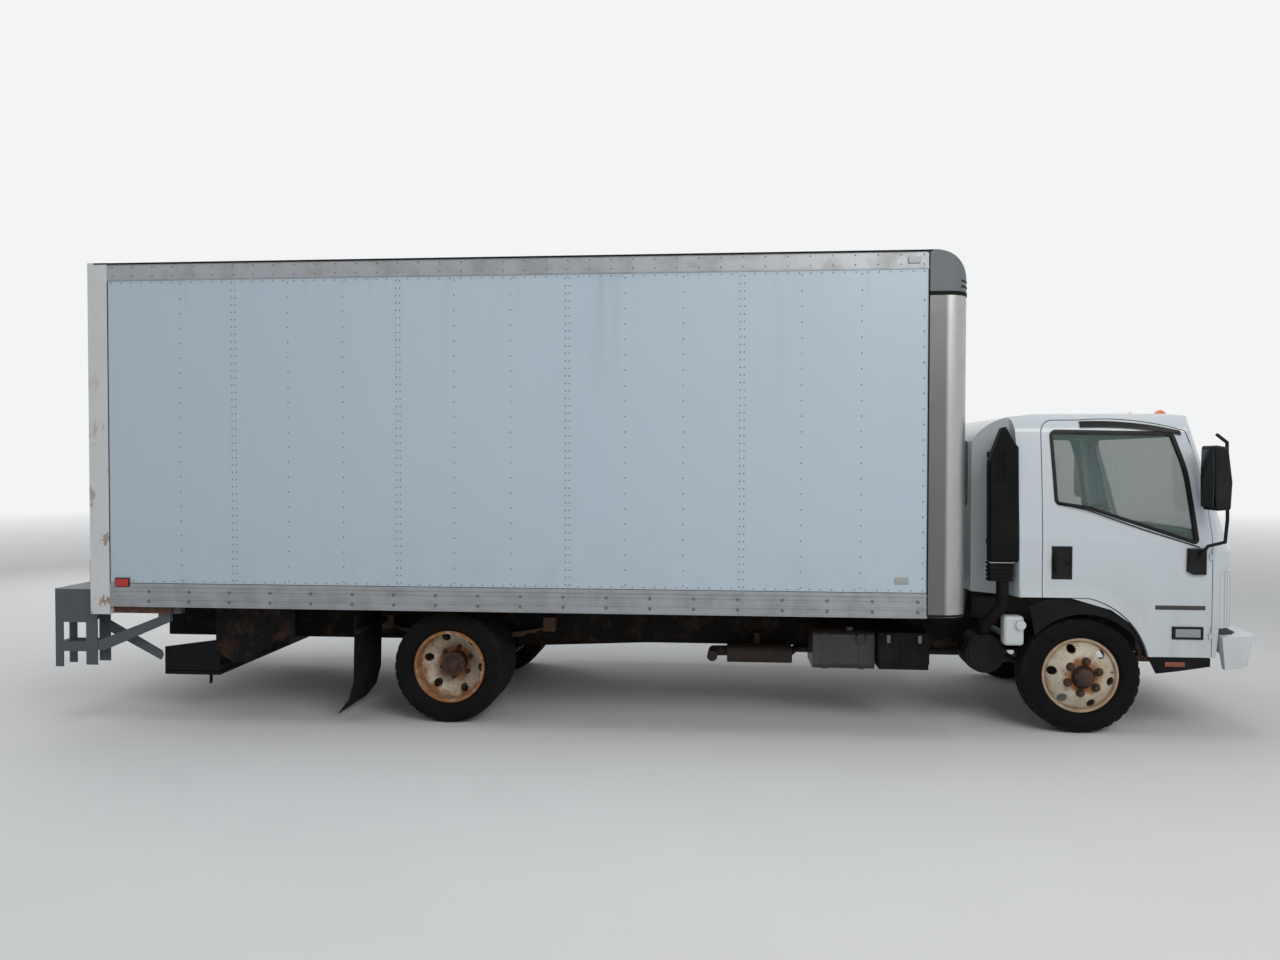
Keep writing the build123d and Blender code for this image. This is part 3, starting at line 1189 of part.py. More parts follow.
rest = rest + other_side(rest)
save("crossmembers", group(cross_pieces + [lug, other_side(lug), rest]))

BUMPER_HALF = 1012.0
BUMPER_BACK_X = WELL_FRONT_X + 68
BUMPER_GAUGE = 4.0
BUMPER_LEAN = 44.0
bumper_low_z = AXLE_Z + 60
bumper_top_z = AXLE_Z + 314
bumper_half = [
    (BUMPER_BACK_X, -BUMPER_HALF),
    (1060, -BUMPER_HALF + 6),
    ((1128, -960), (1150, -880)),
]
bumper_path = mirrored_path(bumper_half, (BUMPER_REACH, 0, flip_plan))
bumper_profile = rounded([
    (BUMPER_BACK_X - 30, bumper_low_z + 2),
    (1000, bumper_low_z + 14),
    (BUMPER_REACH - 26, bumper_low_z + 52),
    (BUMPER_REACH + 12, bumper_top_z - 40),
    (BUMPER_REACH - 30, bumper_top_z - 2),
    (BUMPER_BACK_X - 30, bumper_top_z - 14),
], [1, 100, 40, 30, 20, 1])


def bumper_form(inset):
    """Bumper drawn in by the given distance, leaning out towards its top."""
    low = Pos(0, 0, bumper_low_z - 5) * drawn(bumper_path, BUMPER_LEAN + inset)
    high = Pos(0, 0, bumper_top_z + 5) * drawn(bumper_path, inset)
    return loft([low, high], ruled=True) & extrude(SIDE_PLANE * drawn(bumper_profile, inset),
                                                   amount=BUMPER_HALF + 50, both=True)


back_half = [(800, -935), (1000, -925), (1070, -830), (1125, -480), (1135, -200)]
open_back = plan_plate(back_half + [flip_plan(point) for point in reversed(back_half)],
                       bumper_low_z - 5, bumper_top_z + 5)
bumper = bumper_form(0) - bumper_form(BUMPER_GAUGE) - open_back
bumper = bumper - block(BUMPER_BACK_X - 40, BUMPER_BACK_X + BUMPER_GAUGE + 2, -BUMPER_HALF + BUMPER_GAUGE + 1,
                        BUMPER_HALF - BUMPER_GAUGE - 1, bumper_low_z + 20, bumper_top_z - 20)
for side in (-1, 1):
    bumper = bumper + block(RAIL_FRONT_X + SEAT, BUMPER_REACH - 22, side * (RAIL_OUTER_Y - 20),
                            side * RAIL_OUTER_Y, RAIL_BOTTOM_Z + 40, RAIL_TOP_Z - 90)
save("front_bumper", bumper)

# Fuel tank, battery box, silencer
hang_y = RAIL_OUTER_Y + SEAT
tank_top_z = RAIL_TOP_Z - 20
tank = block(-1847, -1409, -880, -hang_y - 20, RAIL_BOTTOM_Z - 83, tank_top_z)
tank = fillet(tank.edges().filter_by(Axis.X), 50)
for x in (-1760, -1500):
    strap = block(x - 22, x + 22, -884, -hang_y, RAIL_BOTTOM_Z - 87, tank_top_z + 4)
    tank = tank + fillet(strap.edges().filter_by(Axis.X).group_by(Axis.Y)[0], 50)
tank = tank + rod_z(-1580, -820, tank_top_z - 40, tank_top_z + 22, 32)
save("fuel_tank", tank)

battery_top_z = RAIL_TOP_Z - 16
battery = block(-1397, -1041, -960, -600, RAIL_BOTTOM_Z - 20, battery_top_z)
battery = fillet(battery.edges().filter_by(Axis.Z), 12)
battery = battery + block(-1390, -1048, -955, -605, RAIL_BOTTOM_Z - 60, RAIL_BOTTOM_Z - 20)
battery = battery + block(-1350, -1090, -605, -hang_y, RAIL_BOTTOM_Z + 20, RAIL_BOTTOM_Z + 70)
battery = battery + block(-1240, -1216, -964, -596, RAIL_BOTTOM_Z - 24, battery_top_z + 4)
save("battery_box", battery)

silencer_z = RAIL_BOTTOM_Z - 28
silencer = block(-2459, -1981, -710, -500, silencer_z - 61, silencer_z + 60)
silencer = fillet(silencer.edges().filter_by(Axis.X), 50)
silencer = silencer + pipe([(-2450, -600, silencer_z + 12), (-2560, -610, silencer_z + 12),
                            (-2570, -760, silencer_z - 2)], 38)
silencer = silencer + pipe([(-1985, -560, silencer_z - 2), (-1930, -305, silencer_z - 22),
                            (-640, -305, silencer_z - 22), (-480, -303, silencer_z + 38)], 28)
silencer = silencer + block(-500, -440, -330, -270 - SEAT, silencer_z + 18, silencer_z + 78)
silencer = silencer + block(-2250, -2215, -560, -hang_y, silencer_z + 48, silencer_z + 138)
save("exhaust", silencer)

# Air cleaner: round can, duct and a ribbed collar that the cab's intake comes down to
CLEANER_R = 135.0
CLEANER_X = -646.0
cleaner_z = AXLE_Z + 136
collar_low_z = CAB_FLOOR_Z + 109
collar_top_z = CAB_FLOOR_Z + 239
COLLAR_Y = -950.0
cleaner = rod_y(CLEANER_X, -900, -640, cleaner_z, CLEANER_R)
cleaner = cleaner + rod_y(CLEANER_X, -908, -640, cleaner_z, CLEANER_R - 20)
cleaner = cleaner + rod_y(CLEANER_X, -836, -812, cleaner_z, CLEANER_R + 5)
cleaner = cleaner + block(CLEANER_X - 40, CLEANER_X + 40, -640, -hang_y, RAIL_BOTTOM_Z + 10, RAIL_BOTTOM_Z + 80)
duct = pipe([(CLEANER_X, -800, cleaner_z + 100), (-640, -860, cleaner_z + 199), (-546, COLLAR_Y, collar_low_z - 169),
             (-546, COLLAR_Y, collar_low_z + 5)], 42)
collar = block(-642, -490, COLLAR_Y - 42, COLLAR_Y + 42, collar_low_z, collar_top_z)
COLLAR_RIBS = 5
for k in range(COLLAR_RIBS):
    z = collar_low_z + (collar_top_z - collar_low_z - 14) * k / (COLLAR_RIBS - 1)
    collar = collar + block(-650, -482, COLLAR_Y - 50, COLLAR_Y + 50, z, z + 14)
collar = fillet(collar.edges().filter_by(Axis.Z), 8)
save("air_cleaner", cleaner + duct + collar)

# Air intake on the cab's corner, with a grille of slots near its top
intake_low_z = collar_top_z + RUN
intake = side_plate([(-642, intake_low_z), (-649, CAB_ROOF_Z - 359), (-565, CAB_ROOF_Z - 128),
                     (-542, CAB_ROOF_Z - 120), (-487, CAB_ROOF_Z - 224), (-456, CAB_ROOF_Z - 263),
                     (-444, intake_low_z)], -CAB_HALF, -CAB_HALF + 95)
intake = fillet(intake.faces().sort_by(Axis.Y)[0].edges(), 12)
INTAKE_SLOTS = 9
for k in range(INTAKE_SLOTS):
    z = CAB_ROOF_Z - 500 + 24 * k
    intake = intake - block(-610, -548, -CAB_HALF - 5, -CAB_HALF + 7, z, z + 11)
intake = intake - cab_solid(-RUN)
intake = max(intake.solids(), key=lambda s: s.volume)


def corner_y(x):
    """Distance out of the cab's rear corner face at this X."""
    share = (x - CAB_BACK_X) / (CORNER_TURN_X - CAB_BACK_X)
    return CORNER_BACK_Y + share * (CORNER_TURN_Y - CORNER_BACK_Y) - SEAT


for z in (CAB_FLOOR_Z + 370, CAB_FLOOR_Z + 990):
    stay = plan_plate([(-612, -CAB_HALF + 90), (-580, -CAB_HALF + 90), (-580, corner_y(-580)),
                       (-612, corner_y(-612))], z - 20, z + 20)
    intake = intake + stay
save("snorkel", intake)

bottle_low_z = AXLE_Z + 207
bottle = block(-535, -395, -960, -858, bottle_low_z, bottle_low_z + 208)
bottle = fillet(bottle.edges(), 25)
bottle = bottle + rod_y(-425, -984, -940, bottle_low_z + 150, 33)
bottle = bottle + block(-490, -462, -862, -hang_y, bottle_low_z + 30, bottle_low_z + 60)
save("expansion_tank", bottle)

# Lamps on the body: side markers, rear lamps and the three above the shutter
lamps = [block(BODY_REAR_X + 196, BODY_REAR_X + 295, -BODY_HALF - 12, -BODY_HALF - SEAT,
               BODY_BOTTOM_Z + 150, BODY_BOTTOM_Z + 204)]
lamps.append(block(BODY_REAR_X - 14, BODY_REAR_X - SEAT, -BODY_HALF + 12, -BODY_HALF + 82,
                   BODY_BOTTOM_Z + 160, BODY_BOTTOM_Z + 330))
lamps.append(block(panel_front_x - 140, panel_front_x - 60, -BODY_HALF - 12, -BODY_HALF - SEAT,
                   BODY_TOP_Z - 90, BODY_TOP_Z - 50))
lamps = [fillet(lamp.edges().filter_by(Axis.Z), 4) for lamp in lamps]
lamps = lamps + [other_side(lamp) for lamp in lamps]
for y in (-200, 0, 200):
    lamps.append(block(BODY_REAR_X - 12, BODY_REAR_X - SEAT, y - 40, y + 40, BODY_TOP_Z - 85,
                       BODY_TOP_Z - 45))
save("body_lamps", group(lamps))

# Inside the cab: dash with its column, seats, steering wheel
toe_top = CAB_TOE_Z + CAB_WALL + SEAT
floor_in = CAB_FLOOR_Z + CAB_WALL + SEAT
dash_low = CAB_FLOOR_Z + 160
dash = side_plate([(730, dash_low + 120), (800, dash_low), (1000, dash_low), (1020, dash_low + 260),
                   (900, dash_low + 285), (760, dash_low + 280)], -CAB_HALF + 280, CAB_HALF - 280)
dash = dash & cab_solid(CAB_WALL + SEAT)
dash = dash + block(800, 940, -140, 140, toe_top, dash_low + 10)
WHEEL_Y = 455.0
wheel_seat = Vector(520, WHEEL_Y, CAB_FLOOR_Z + 440)
column_foot = Vector(840, WHEEL_Y, toe_top)
column_way = (wheel_seat - column_foot).normalized()
column = pipe([tuple(column_foot + column_way * 35), tuple(wheel_seat)], 30)
column = column + Plane(origin=wheel_seat + column_way * 22, z_dir=column_way) * Cylinder(12, 44)
column = column + block(800, 880, WHEEL_Y - 40, WHEEL_Y + 40, toe_top, toe_top + 50)
save("dashboard", dash + column)

WHEEL_RING_R = 212.0
wheel_plane = Plane(origin=wheel_seat, z_dir=column_way)
steering = Pos(0, 0, 30) * Cylinder(36, 56) + Pos(0, 0, 48) * Torus(WHEEL_RING_R, 14)
for turn in (0, 120, 240):
    steering = steering + Rot(0, 0, turn) * Pos(110, 0, 46) * Box(200, 34, 12)
steering = steering - Pos(0, 0, 23) * Cylinder(12 + PIN_CLEARANCE, 46.2)
save("steering_wheel", wheel_plane * steering)

seat_low = CAB_FLOOR_Z + 200
seat_outer = CAB_HALF - 320
seat_pieces = []
for y0, y1 in ((230, seat_outer), (-190, 190), (-seat_outer, -230)):
    pan = block(-520, -40, y0 + 30, y1 - 30, floor_in, seat_low)
    cushion = side_plate([(-560, seat_low - 5), (0, seat_low - 5), (20, seat_low + 40), (10, seat_low + 100),
                          (-40, seat_low + 130), (-540, seat_low + 110)], y0, y1)
    back = side_plate([(-540, seat_low + 110 + SEAT), (-475, seat_low + 112.6 + SEAT), (-520, seat_low + 340),
                       (-560, seat_low + 630), (-600, seat_low + 640), (-625, seat_low + 620),
                       (-600, seat_low + 340), (-585, seat_low + 110 + SEAT)], y0 + 10, y1 - 10)
    seat_pieces.append(pan + cushion)
    seat_pieces.append(back)
save("seats", group(seat_pieces))

# Lamps and black trim that stand proud of the cab's skin
near_skin = cab_solid(-SEAT)
proud_skin = cab_solid(-8) - near_skin


def proud(skin, x0, x1, y0, y1, z0, z1):
    """Piece of a proud skin inside the given box."""
    return max((skin & block(x0, x1, y0, y1, z0, z1)).solids(), key=lambda s: s.volume)


def shield(points, y0, y1, edge):
    """Flat piece on the cab's side with its outer rim rounded."""
    shape = side_plate(points, y0, y1)
    return fillet(shape.faces().sort_by(Axis.Y)[0].edges(), edge)


headlamp = proud(proud_skin, 900, 1200, -975, -640, CAB_NOSE_Z + 24, CAB_NOSE_Z + 412)
DOME_R = 40.0
DOME_CROWN_R = 4.0
DOME_SKIRT = 14.0
DOME_X = 600.0
half_dome = DOME_R * math.cos(math.radians(45))
crown_z = math.sqrt(DOME_R ** 2 - DOME_CROWN_R ** 2)
dome_profile = [
    (0, -DOME_SKIRT),
    (DOME_R, -DOME_SKIRT),
    (DOME_R, 0),
    ((half_dome, half_dome), (DOME_CROWN_R, crown_z)),
    (0, crown_z),
]
dome_body = revolve(Rot(90, 0, 0) * drawn(dome_profile), axis=Axis.Z)
domes = []
for y, drop in ((-715, 33), (-210, 26), (0, 26), (210, 26), (715, 33)):
    dome = Pos(DOME_X, y, CAB_ROOF_Z - drop) * dome_body - near_skin
    domes.append(max(dome.solids(), key=lambda s: s.volume))
save("cab_lamps", group([headlamp, other_side(headlamp)] + domes))

grille = proud(proud_skin, 1000, 1200, -600, 600, CAB_NOSE_Z + 60, CAB_NOSE_Z + 162)
for z in (CAB_NOSE_Z + 84, CAB_NOSE_Z + 108, CAB_NOSE_Z + 132):
    grille = grille - block(CAB_FRONT_X + 3 - 90, CAB_FRONT_X + 20, -560, 560, z, z + 9)
    grille = grille + proud(cab_solid(-4) - near_skin, 1000, 1200, -570, 570, z - 2, z + 11)
skirt_low_z = CAB_STEP_Z - 116
skirt = side_plate([(425, CAB_STEP_Z - 5), (479, skirt_low_z), (623, skirt_low_z + 19), (831, skirt_low_z + 54),
                    (831, CAB_STEP_Z - 5)], -CAB_HALF + 12, -CAB_HALF + 34)
skirt = skirt + block(460, 824, -CAB_HALF + 30, -CAB_HALF + 120, CAB_STEP_Z - 15, CAB_STEP_Z - 5)
skirt = skirt + block(460, 824, -CAB_HALF + 60, -CAB_HALF + 120, CAB_STEP_Z - 15, CAB_STEP_Z - SEAT)

# Inner wing: a thin band under the arch with a flange that narrows round the tyre
LINER_R = arch_r - DOOR_GAP
LINER_Y = CAB_HALF - 18
FLANGE_INNER_R = TYRE_R + 35
band = rod_y(ARCH_X, -LINER_Y, -LINER_Y + 52, arch_z, LINER_R) - rod_y(
    ARCH_X, -LINER_Y - 5, -LINER_Y + 57, arch_z, LINER_R - 4)
flange = rod_y(ARCH_X, -LINER_Y - 4, -LINER_Y, arch_z, LINER_R) - rod_y(
    0, -LINER_Y - 9, -LINER_Y + 5, AXLE_Z, FLANGE_INNER_R)
liner = (band + flange) & block(-430, 700, -FAR, 0, arch_z + 110, CAB_FLOOR_Z - SEAT)
liner = liner - side_plate([(-435, CAB_FLOOR_Z + 5), (-435, 500), (-300, 500), (-360, CAB_FLOOR_Z - 120),
                            (-405, CAB_FLOOR_Z + 5)], -FAR, 0)
liner = liner - near_skin
liner = max(liner.solids(), key=lambda s: s.volume)
save("cab_trim", group([grille, skirt, other_side(skirt), liner, other_side(liner)]))

# Door fittings: window seal, rain strip, pull handle, side lamp, mirror on its arms
OUT_Y = -CAB_HALF - SEAT
seal = side_solid(-SEAL_PROUD) - side_solid(GLASS_INSET + GLASS_THICK + 5)
seal = seal & (on_right(window_path, SEAT) - on_right(window_path, SEAL_WIDE))
seal = max(seal.solids(), key=lambda s: s.volume)
strip = side_solid(-12) - side_solid(-SEAL_PROUD - SEAT)
strip_path = [(-26, CAB_ROOF_Z - 80), ((330, CAB_ROOF_Z - 92), (630, CAB_ROOF_Z - 146)),
              (640, CAB_ROOF_Z - 178), ((330, CAB_ROOF_Z - 132), (-26, CAB_ROOF_Z - 124))]
strip = max((strip & on_right(strip_path)).solids(), key=lambda s: s.volume)
strip_foot = side_solid(-SEAL_PROUD - 1) - side_solid(-SEAT)
strip_line = [(-20, CAB_ROOF_Z - 84), ((330, CAB_ROOF_Z - 96), (620, CAB_ROOF_Z - 146)),
              (621, CAB_ROOF_Z - 151), ((330, CAB_ROOF_Z - 102), (-20, CAB_ROOF_Z - 90))]
strip = strip + max((strip_foot & on_right(strip_line)).solids(), key=lambda s: s.volume)
handle_low_z = CAB_FLOOR_Z + 128
handle = shield([(-231, handle_low_z), (-93, handle_low_z), (-93, handle_low_z + 229), (-231, handle_low_z + 229)],
                OUT_Y - 6, OUT_Y, 5)
handle = handle - block(-213, -111, OUT_Y - 10, OUT_Y - 2, handle_low_z + 20, handle_low_z + 209)
handle = handle + block(-205, -119, OUT_Y - 12, OUT_Y - 1, handle_low_z + 120, handle_low_z + 196)
lamp_low_z = CAB_STEP_Z + 125
lamp_side = shield([(570, lamp_low_z + 6), (576, lamp_low_z), (776, lamp_low_z), (776, lamp_low_z + 82),
                    (770, lamp_low_z + 88), (570, lamp_low_z + 88)], OUT_Y - 10, OUT_Y, 6)
bracket_low_z = CAB_FLOOR_Z + 171
bracket = shield([(660, bracket_low_z + 22), (700, bracket_low_z), (785, bracket_low_z), (785, bracket_low_z + 180),
                  (664, bracket_low_z + 180)], OUT_Y - 28, OUT_Y, 12)
MIRROR_Y = -CAB_HALF - 150
mirror_low_z = CAB_FLOOR_Z + 617
mirror_head = side_plate([(731, mirror_low_z), (825, mirror_low_z + 8), (834, mirror_low_z + 190),
                          (805, mirror_low_z + 420), (717, mirror_low_z + 435), (722, mirror_low_z + 200)],
                         MIRROR_Y - 95, MIRROR_Y + 95)
mirror_head = fillet(mirror_head.edges(), 16)
arm = pipe([(725, OUT_Y - 20, bracket_low_z + 110), (761, -CAB_HALF - 80, CAB_FLOOR_Z + 373),
            (845, MIRROR_Y + 20, CAB_FLOOR_Z + 405), (848, MIRROR_Y, CAB_FLOOR_Z + 560),
            (838, MIRROR_Y, CAB_FLOOR_Z + 1070), (795, MIRROR_Y + 50, CAB_FLOOR_Z + 1126)], 11)
mirror_unit = bracket + arm + mirror_head
fittings_right = [mirror_unit, lamp_side, handle, seal, strip]
save("door_fittings_right", group(fittings_right))
save("door_fittings_left", group([other_side(piece) for piece in fittings_right]))
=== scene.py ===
import math
from itertools import product

import bmesh
import bpy
from mathutils import Matrix, Vector


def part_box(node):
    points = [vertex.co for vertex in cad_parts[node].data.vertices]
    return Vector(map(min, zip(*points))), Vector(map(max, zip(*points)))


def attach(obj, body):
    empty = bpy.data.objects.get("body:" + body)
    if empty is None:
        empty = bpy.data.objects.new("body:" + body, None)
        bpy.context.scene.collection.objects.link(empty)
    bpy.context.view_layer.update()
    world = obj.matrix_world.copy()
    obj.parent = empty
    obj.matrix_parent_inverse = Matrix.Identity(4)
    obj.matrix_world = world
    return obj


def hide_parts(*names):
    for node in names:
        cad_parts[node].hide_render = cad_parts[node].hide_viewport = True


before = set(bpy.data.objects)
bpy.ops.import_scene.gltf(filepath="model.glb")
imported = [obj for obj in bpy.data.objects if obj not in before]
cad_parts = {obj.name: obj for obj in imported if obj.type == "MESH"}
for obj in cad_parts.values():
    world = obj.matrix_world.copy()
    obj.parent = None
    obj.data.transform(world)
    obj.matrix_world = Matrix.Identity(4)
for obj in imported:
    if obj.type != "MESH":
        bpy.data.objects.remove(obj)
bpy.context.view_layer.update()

# Places in the shared frame, in metres
FRONT_AXLE_X = 3.105
REAR_AXLE_X = -1.365
WHEEL_Z = 0.405
SIDES = ((-1, "right"), (1, "left"))

# Specular level of dusty black things
DULL = 0.06


class Shader:
    """A node material with one Principled shader and short calls for its textures."""

    def __init__(self, name, color, rough, metal=0.0, **inputs):
        self.mat = bpy.data.materials.new(name)
        self.mat.use_nodes = True
        self.tree = self.mat.node_tree
        self.bsdf = self.tree.nodes["Principled BSDF"]
        self.put("Base Color", color)
        self.put("Roughness", rough)
        self.put("Metallic", metal)
        for key, value in inputs.items():
            self.put(key.replace("_", " "), value)
        self.place = self.node("ShaderNodeTexCoord").outputs["Object"]

    def feed(self, socket, value):
        """Link a socket or set its value; a colour gets its alpha here."""
        if isinstance(value, bpy.types.NodeSocket):
            self.tree.links.new(value, socket)
        elif socket.type == "RGBA":
            socket.default_value = (*value, 1)
        else:
            socket.default_value = value

    def node(self, kind, sockets=None, **props):
        """New node with its properties set and its inputs fed by name or number."""
        made = self.tree.nodes.new(kind)
        for key, value in props.items():
            setattr(made, key, value)
        for key, value in (sockets or {}).items():
            self.feed(made.inputs[key], value)
        return made

    def put(self, socket, value):
        """Feed an input of the Principled shader."""
        self.feed(self.bsdf.inputs[socket], value)

    def paint(self, color):
        self.put("Base Color", color)

    def stretch(self, x, y, z):
        """The place, scaled along each axis."""
        return self.node("ShaderNodeMapping", {"Vector": self.place, "Scale": (x, y, z)}).outputs["Vector"]

    def noise(self, scale, detail=4, rough=0.55, at=None):
        sockets = {"Vector": at or self.place, "Scale": scale, "Detail": detail, "Roughness": rough}
        return self.node("ShaderNodeTexNoise", sockets).outputs["Fac"]

    def ramp(self, value, zero, one):
        """Grey that rises between two places of the value and stays level outside them."""
        made = self.node("ShaderNodeValToRGB", {"Fac": value})
        low, high = made.color_ramp.elements
        low.position, high.position = zero, one
        return made.outputs["Color"]

    def slope(self, value, zero, one):
        """Zero to one as the value goes from the first to the second."""
        sockets = {"Value": value, "From Min": zero, "From Max": one}
        return self.node("ShaderNodeMapRange", sockets).outputs[0]

    def mix(self, amount, low, high):
        sockets = {"Factor": amount, "A": low, "B": high}
        return self.node("ShaderNodeMix", sockets, data_type="RGBA", blend_type="MIX").outputs["Result"]

    def over(self, base, color, mask, amount):
        """The base with a colour laid over it by a share of the mask."""
        return self.mix(self.times(mask, amount), base, color)

    def math(self, kind, a, b=0.0, clamp=False):
        return self.node("ShaderNodeMath", {0: a, 1: b}, operation=kind, use_clamp=clamp).outputs[0]

    def times(self, a, b, clamp=False):
        return self.math("MULTIPLY", a, b, clamp)

    def plus(self, a, b, clamp=False):
        return self.math("ADD", a, b, clamp)

    def minus(self, a, b):
        return self.math("SUBTRACT", a, b)

    def axis(self, name):
        """One coordinate of the place, in metres."""
        return self.node("ShaderNodeSeparateXYZ", {0: self.place}).outputs[name]

    def radius(self, axle_x):
        """Distance from an axle that lies along Y."""
        x = self.minus(self.axis("X"), axle_x)
        z = self.minus(self.axis("Z"), WHEEL_Z)
        return self.math("SQRT", self.plus(self.times(x, x), self.times(z, z)))

    def rougher(self, mask, gain, start):
        """Roughness from a start value, rising with the mask."""
        self.put("Roughness", self.plus(self.times(mask, gain), start))

    def bump(self, height, strength, depth):
        sockets = {"Strength": strength, "Distance": depth, "Height": height}
        self.put("Normal", self.node("ShaderNodeBump", sockets).outputs[0])


# Looks that several things share
def painted(name, color, dirt=(0.30, 0.27, 0.22), amount=0.25, rough=0.3, chips=0.0, low=0.55, high=1.1):
    """Gloss paint with faint clouding, road dirt towards the ground and, if asked, rust chips."""
    s = Shader(name, color, rough, Coat_Weight=0.25, Coat_Roughness=0.12)
    base = s.over(color, dirt, s.ramp(s.noise(2.3, 5), 0.35, 0.75), 0.12)
    streak = s.ramp(s.noise(6, 6, at=s.stretch(1, 1, 0.25)), 0.42, 0.8)
    height = s.slope(s.axis("Z"), high, low)
    soil = s.times(s.times(height, amount, True), s.plus(streak, 0.35), True)
    base = s.mix(soil, base, dirt)
    if chips:
        spots = s.ramp(s.noise(38, 6, 0.7), 0.70 - chips, 0.715 - chips)
        rust = s.mix(s.noise(90, 3), (0.21, 0.07, 0.025), (0.38, 0.16, 0.06))
        base = s.mix(spots, base, rust)
        s.bump(spots, 0.4, -0.001)
    s.paint(base)
    s.rougher(soil, 0.4, rough)
    return s.mat


def chassis_black(name, color=(0.0077, 0.00735, 0.007), rust=0.35, dust=0.3):
    """Black underbody paint, dusty and rusting in patches."""
    s = Shader(name, color, 0.6, Specular_IOR_Level=DULL)
    patch = s.ramp(s.noise(7, 8, 0.65), 0.62 - 0.25 * rust, 0.72)
    brown = s.mix(s.noise(60, 4), (0.075, 0.035, 0.018), (0.16, 0.075, 0.035))
    base = s.mix(s.times(patch, rust * 1.3, True), color, brown)
    film = s.ramp(s.noise(3, 5), 0.35, 0.7)
    s.paint(s.over(base, (0.030, 0.028, 0.026), film, dust))
    s.put("Roughness", s.slope(film, -0.6, 1.4))
    s.bump(s.noise(120, 5), 0.25, 0.0012)
    return s.mat


def brushed(name, color, along, rough, amount, bright):
    """Bare metal with fine lines along one axis, clouded and spotted with grime."""
    s = Shader(name, color, rough, 0.9)
    lines = (1.2 if axis == along else 90.0 for axis in "XYZ")
    grain = s.noise(3.0, 5, 0.7, at=s.stretch(*lines))
    base = s.mix(grain, color, tuple(c + bright for c in color))
    grime = s.ramp(s.noise(5, 7, 0.65), 0.45, 0.78)
    s.paint(s.over(base, (0.16, 0.145, 0.12), grime, amount))
    s.rougher(s.noise(1.6, 4), 0.25, rough - 0.1)
    s.put("Metallic", s.minus(0.9, s.times(grime, amount)))
    s.bump(grain, 0.08, 0.0004)
    return s.mat


def moulded(name, color, rough=0.45, dust=0.15, **inputs):
    """Moulded plastic: fine grain, faint dust, and little sheen where it is black."""
    dark = max(color) < 0.05
    s = Shader(name, color, rough, Specular_IOR_Level=DULL if dark else 0.5, **inputs)
    film = s.ramp(s.noise(4, 5), 0.4, 0.8)
    dusty = (0.055, 0.053, 0.050) if dark else (0.28, 0.27, 0.25)
    s.paint(s.over(color, dusty, film, dust))
    s.rougher(film, 0.15, rough)
    s.bump(s.noise(260, 2), 0.12, 0.0006)
    return s.mat


def rubber(name, color, dust):
    """Weathered rubber with brown road dust."""
    s = Shader(name, color, 0.72, Specular_IOR_Level=DULL)
    film = s.ramp(s.noise(9, 6, 0.6), 0.35, 0.75)
    s.paint(s.over(color, (0.060, 0.055, 0.050), film, dust))
    s.put("Roughness", s.slope(film, -1.8, 1.0))
    s.bump(s.noise(150, 4), 0.2, 0.0008)
    return s.mat


def rusty(name, color, bright, amount=0.7):
    """Bare cast or forged steel with surface rust."""
    s = Shader(name, color, 0.75, 0.1)
    patch = s.ramp(s.noise(22, 7, 0.65), 0.38, 0.72)
    s.paint(s.over(color, bright, patch, amount))
    s.bump(s.noise(140, 5, 0.7), 0.4, 0.001)
    return s.mat


def lens(name, color):
    """Moulded lamp lens with fine flutes."""
    s = Shader(name, color, 0.12, Coat_Weight=0.6, IOR=1.5)
    wave = s.node("ShaderNodeTexWave", {"Vector": s.place, "Scale": 45.0}, bands_direction="Z")
    flute = wave.outputs["Fac"]
    s.paint(s.mix(flute, color, tuple(c * 0.72 for c in color)))
    s.bump(flute, 0.25, 0.001)
    return s.mat


# Looks that belong to one thing
def clear_glass(name):
    """Tinted window glass, thin enough to draw as a see-through coat."""
    s = Shader(name, (0.10, 0.17, 0.155), 0.04, Alpha=0.36, IOR=1.5, Specular_IOR_Level=0.7, Coat_Weight=0.5)
    smear = s.ramp(s.noise(7, 6, at=s.stretch(1, 1, 2.5)), 0.45, 0.85)
    s.rougher(smear, 0.16, 0.03)
    s.mat.surface_render_method = "BLENDED"
    return s.mat


def wheel_paint(name, axle_x, rust_level):
    """Disc wheel paint: cream white that rusts round the rim, the stud ring and the hand holes."""
    cream = (0.62, 0.58, 0.48)
    s = Shader(name, cream, 0.5)
    wobble = s.times(s.minus(s.noise(14, 6, 0.65), 0.5), 0.16)
    near = s.plus(s.radius(axle_x), wobble)
    rim_edge = s.slope(near, 0.205, 0.245)
    hub_edge = s.slope(near, 0.150, 0.104)
    rust_at = s.math("MAXIMUM", s.times(rim_edge, rust_level), hub_edge)
    speck = s.ramp(s.noise(55, 6, 0.7), 0.60 - 0.08 * rust_level, 0.66)
    rust_at = s.math("MAXIMUM", rust_at, s.times(speck, 0.55 + 0.4 * rust_level), True)
    rust = s.mix(s.noise(40, 5), (0.17, 0.062, 0.024), (0.46, 0.205, 0.07))
    stain = s.mix(s.ramp(s.noise(8, 5), 0.35, 0.8), cream, (0.42, 0.33, 0.20))
    s.paint(s.mix(rust_at, stain, rust))
    s.put("Roughness", s.slope(rust_at, -1.0, 1.2))
    s.bump(s.plus(s.noise(110, 5), s.times(rust_at, 0.5)), 0.3, 0.0009)
    return s.mat


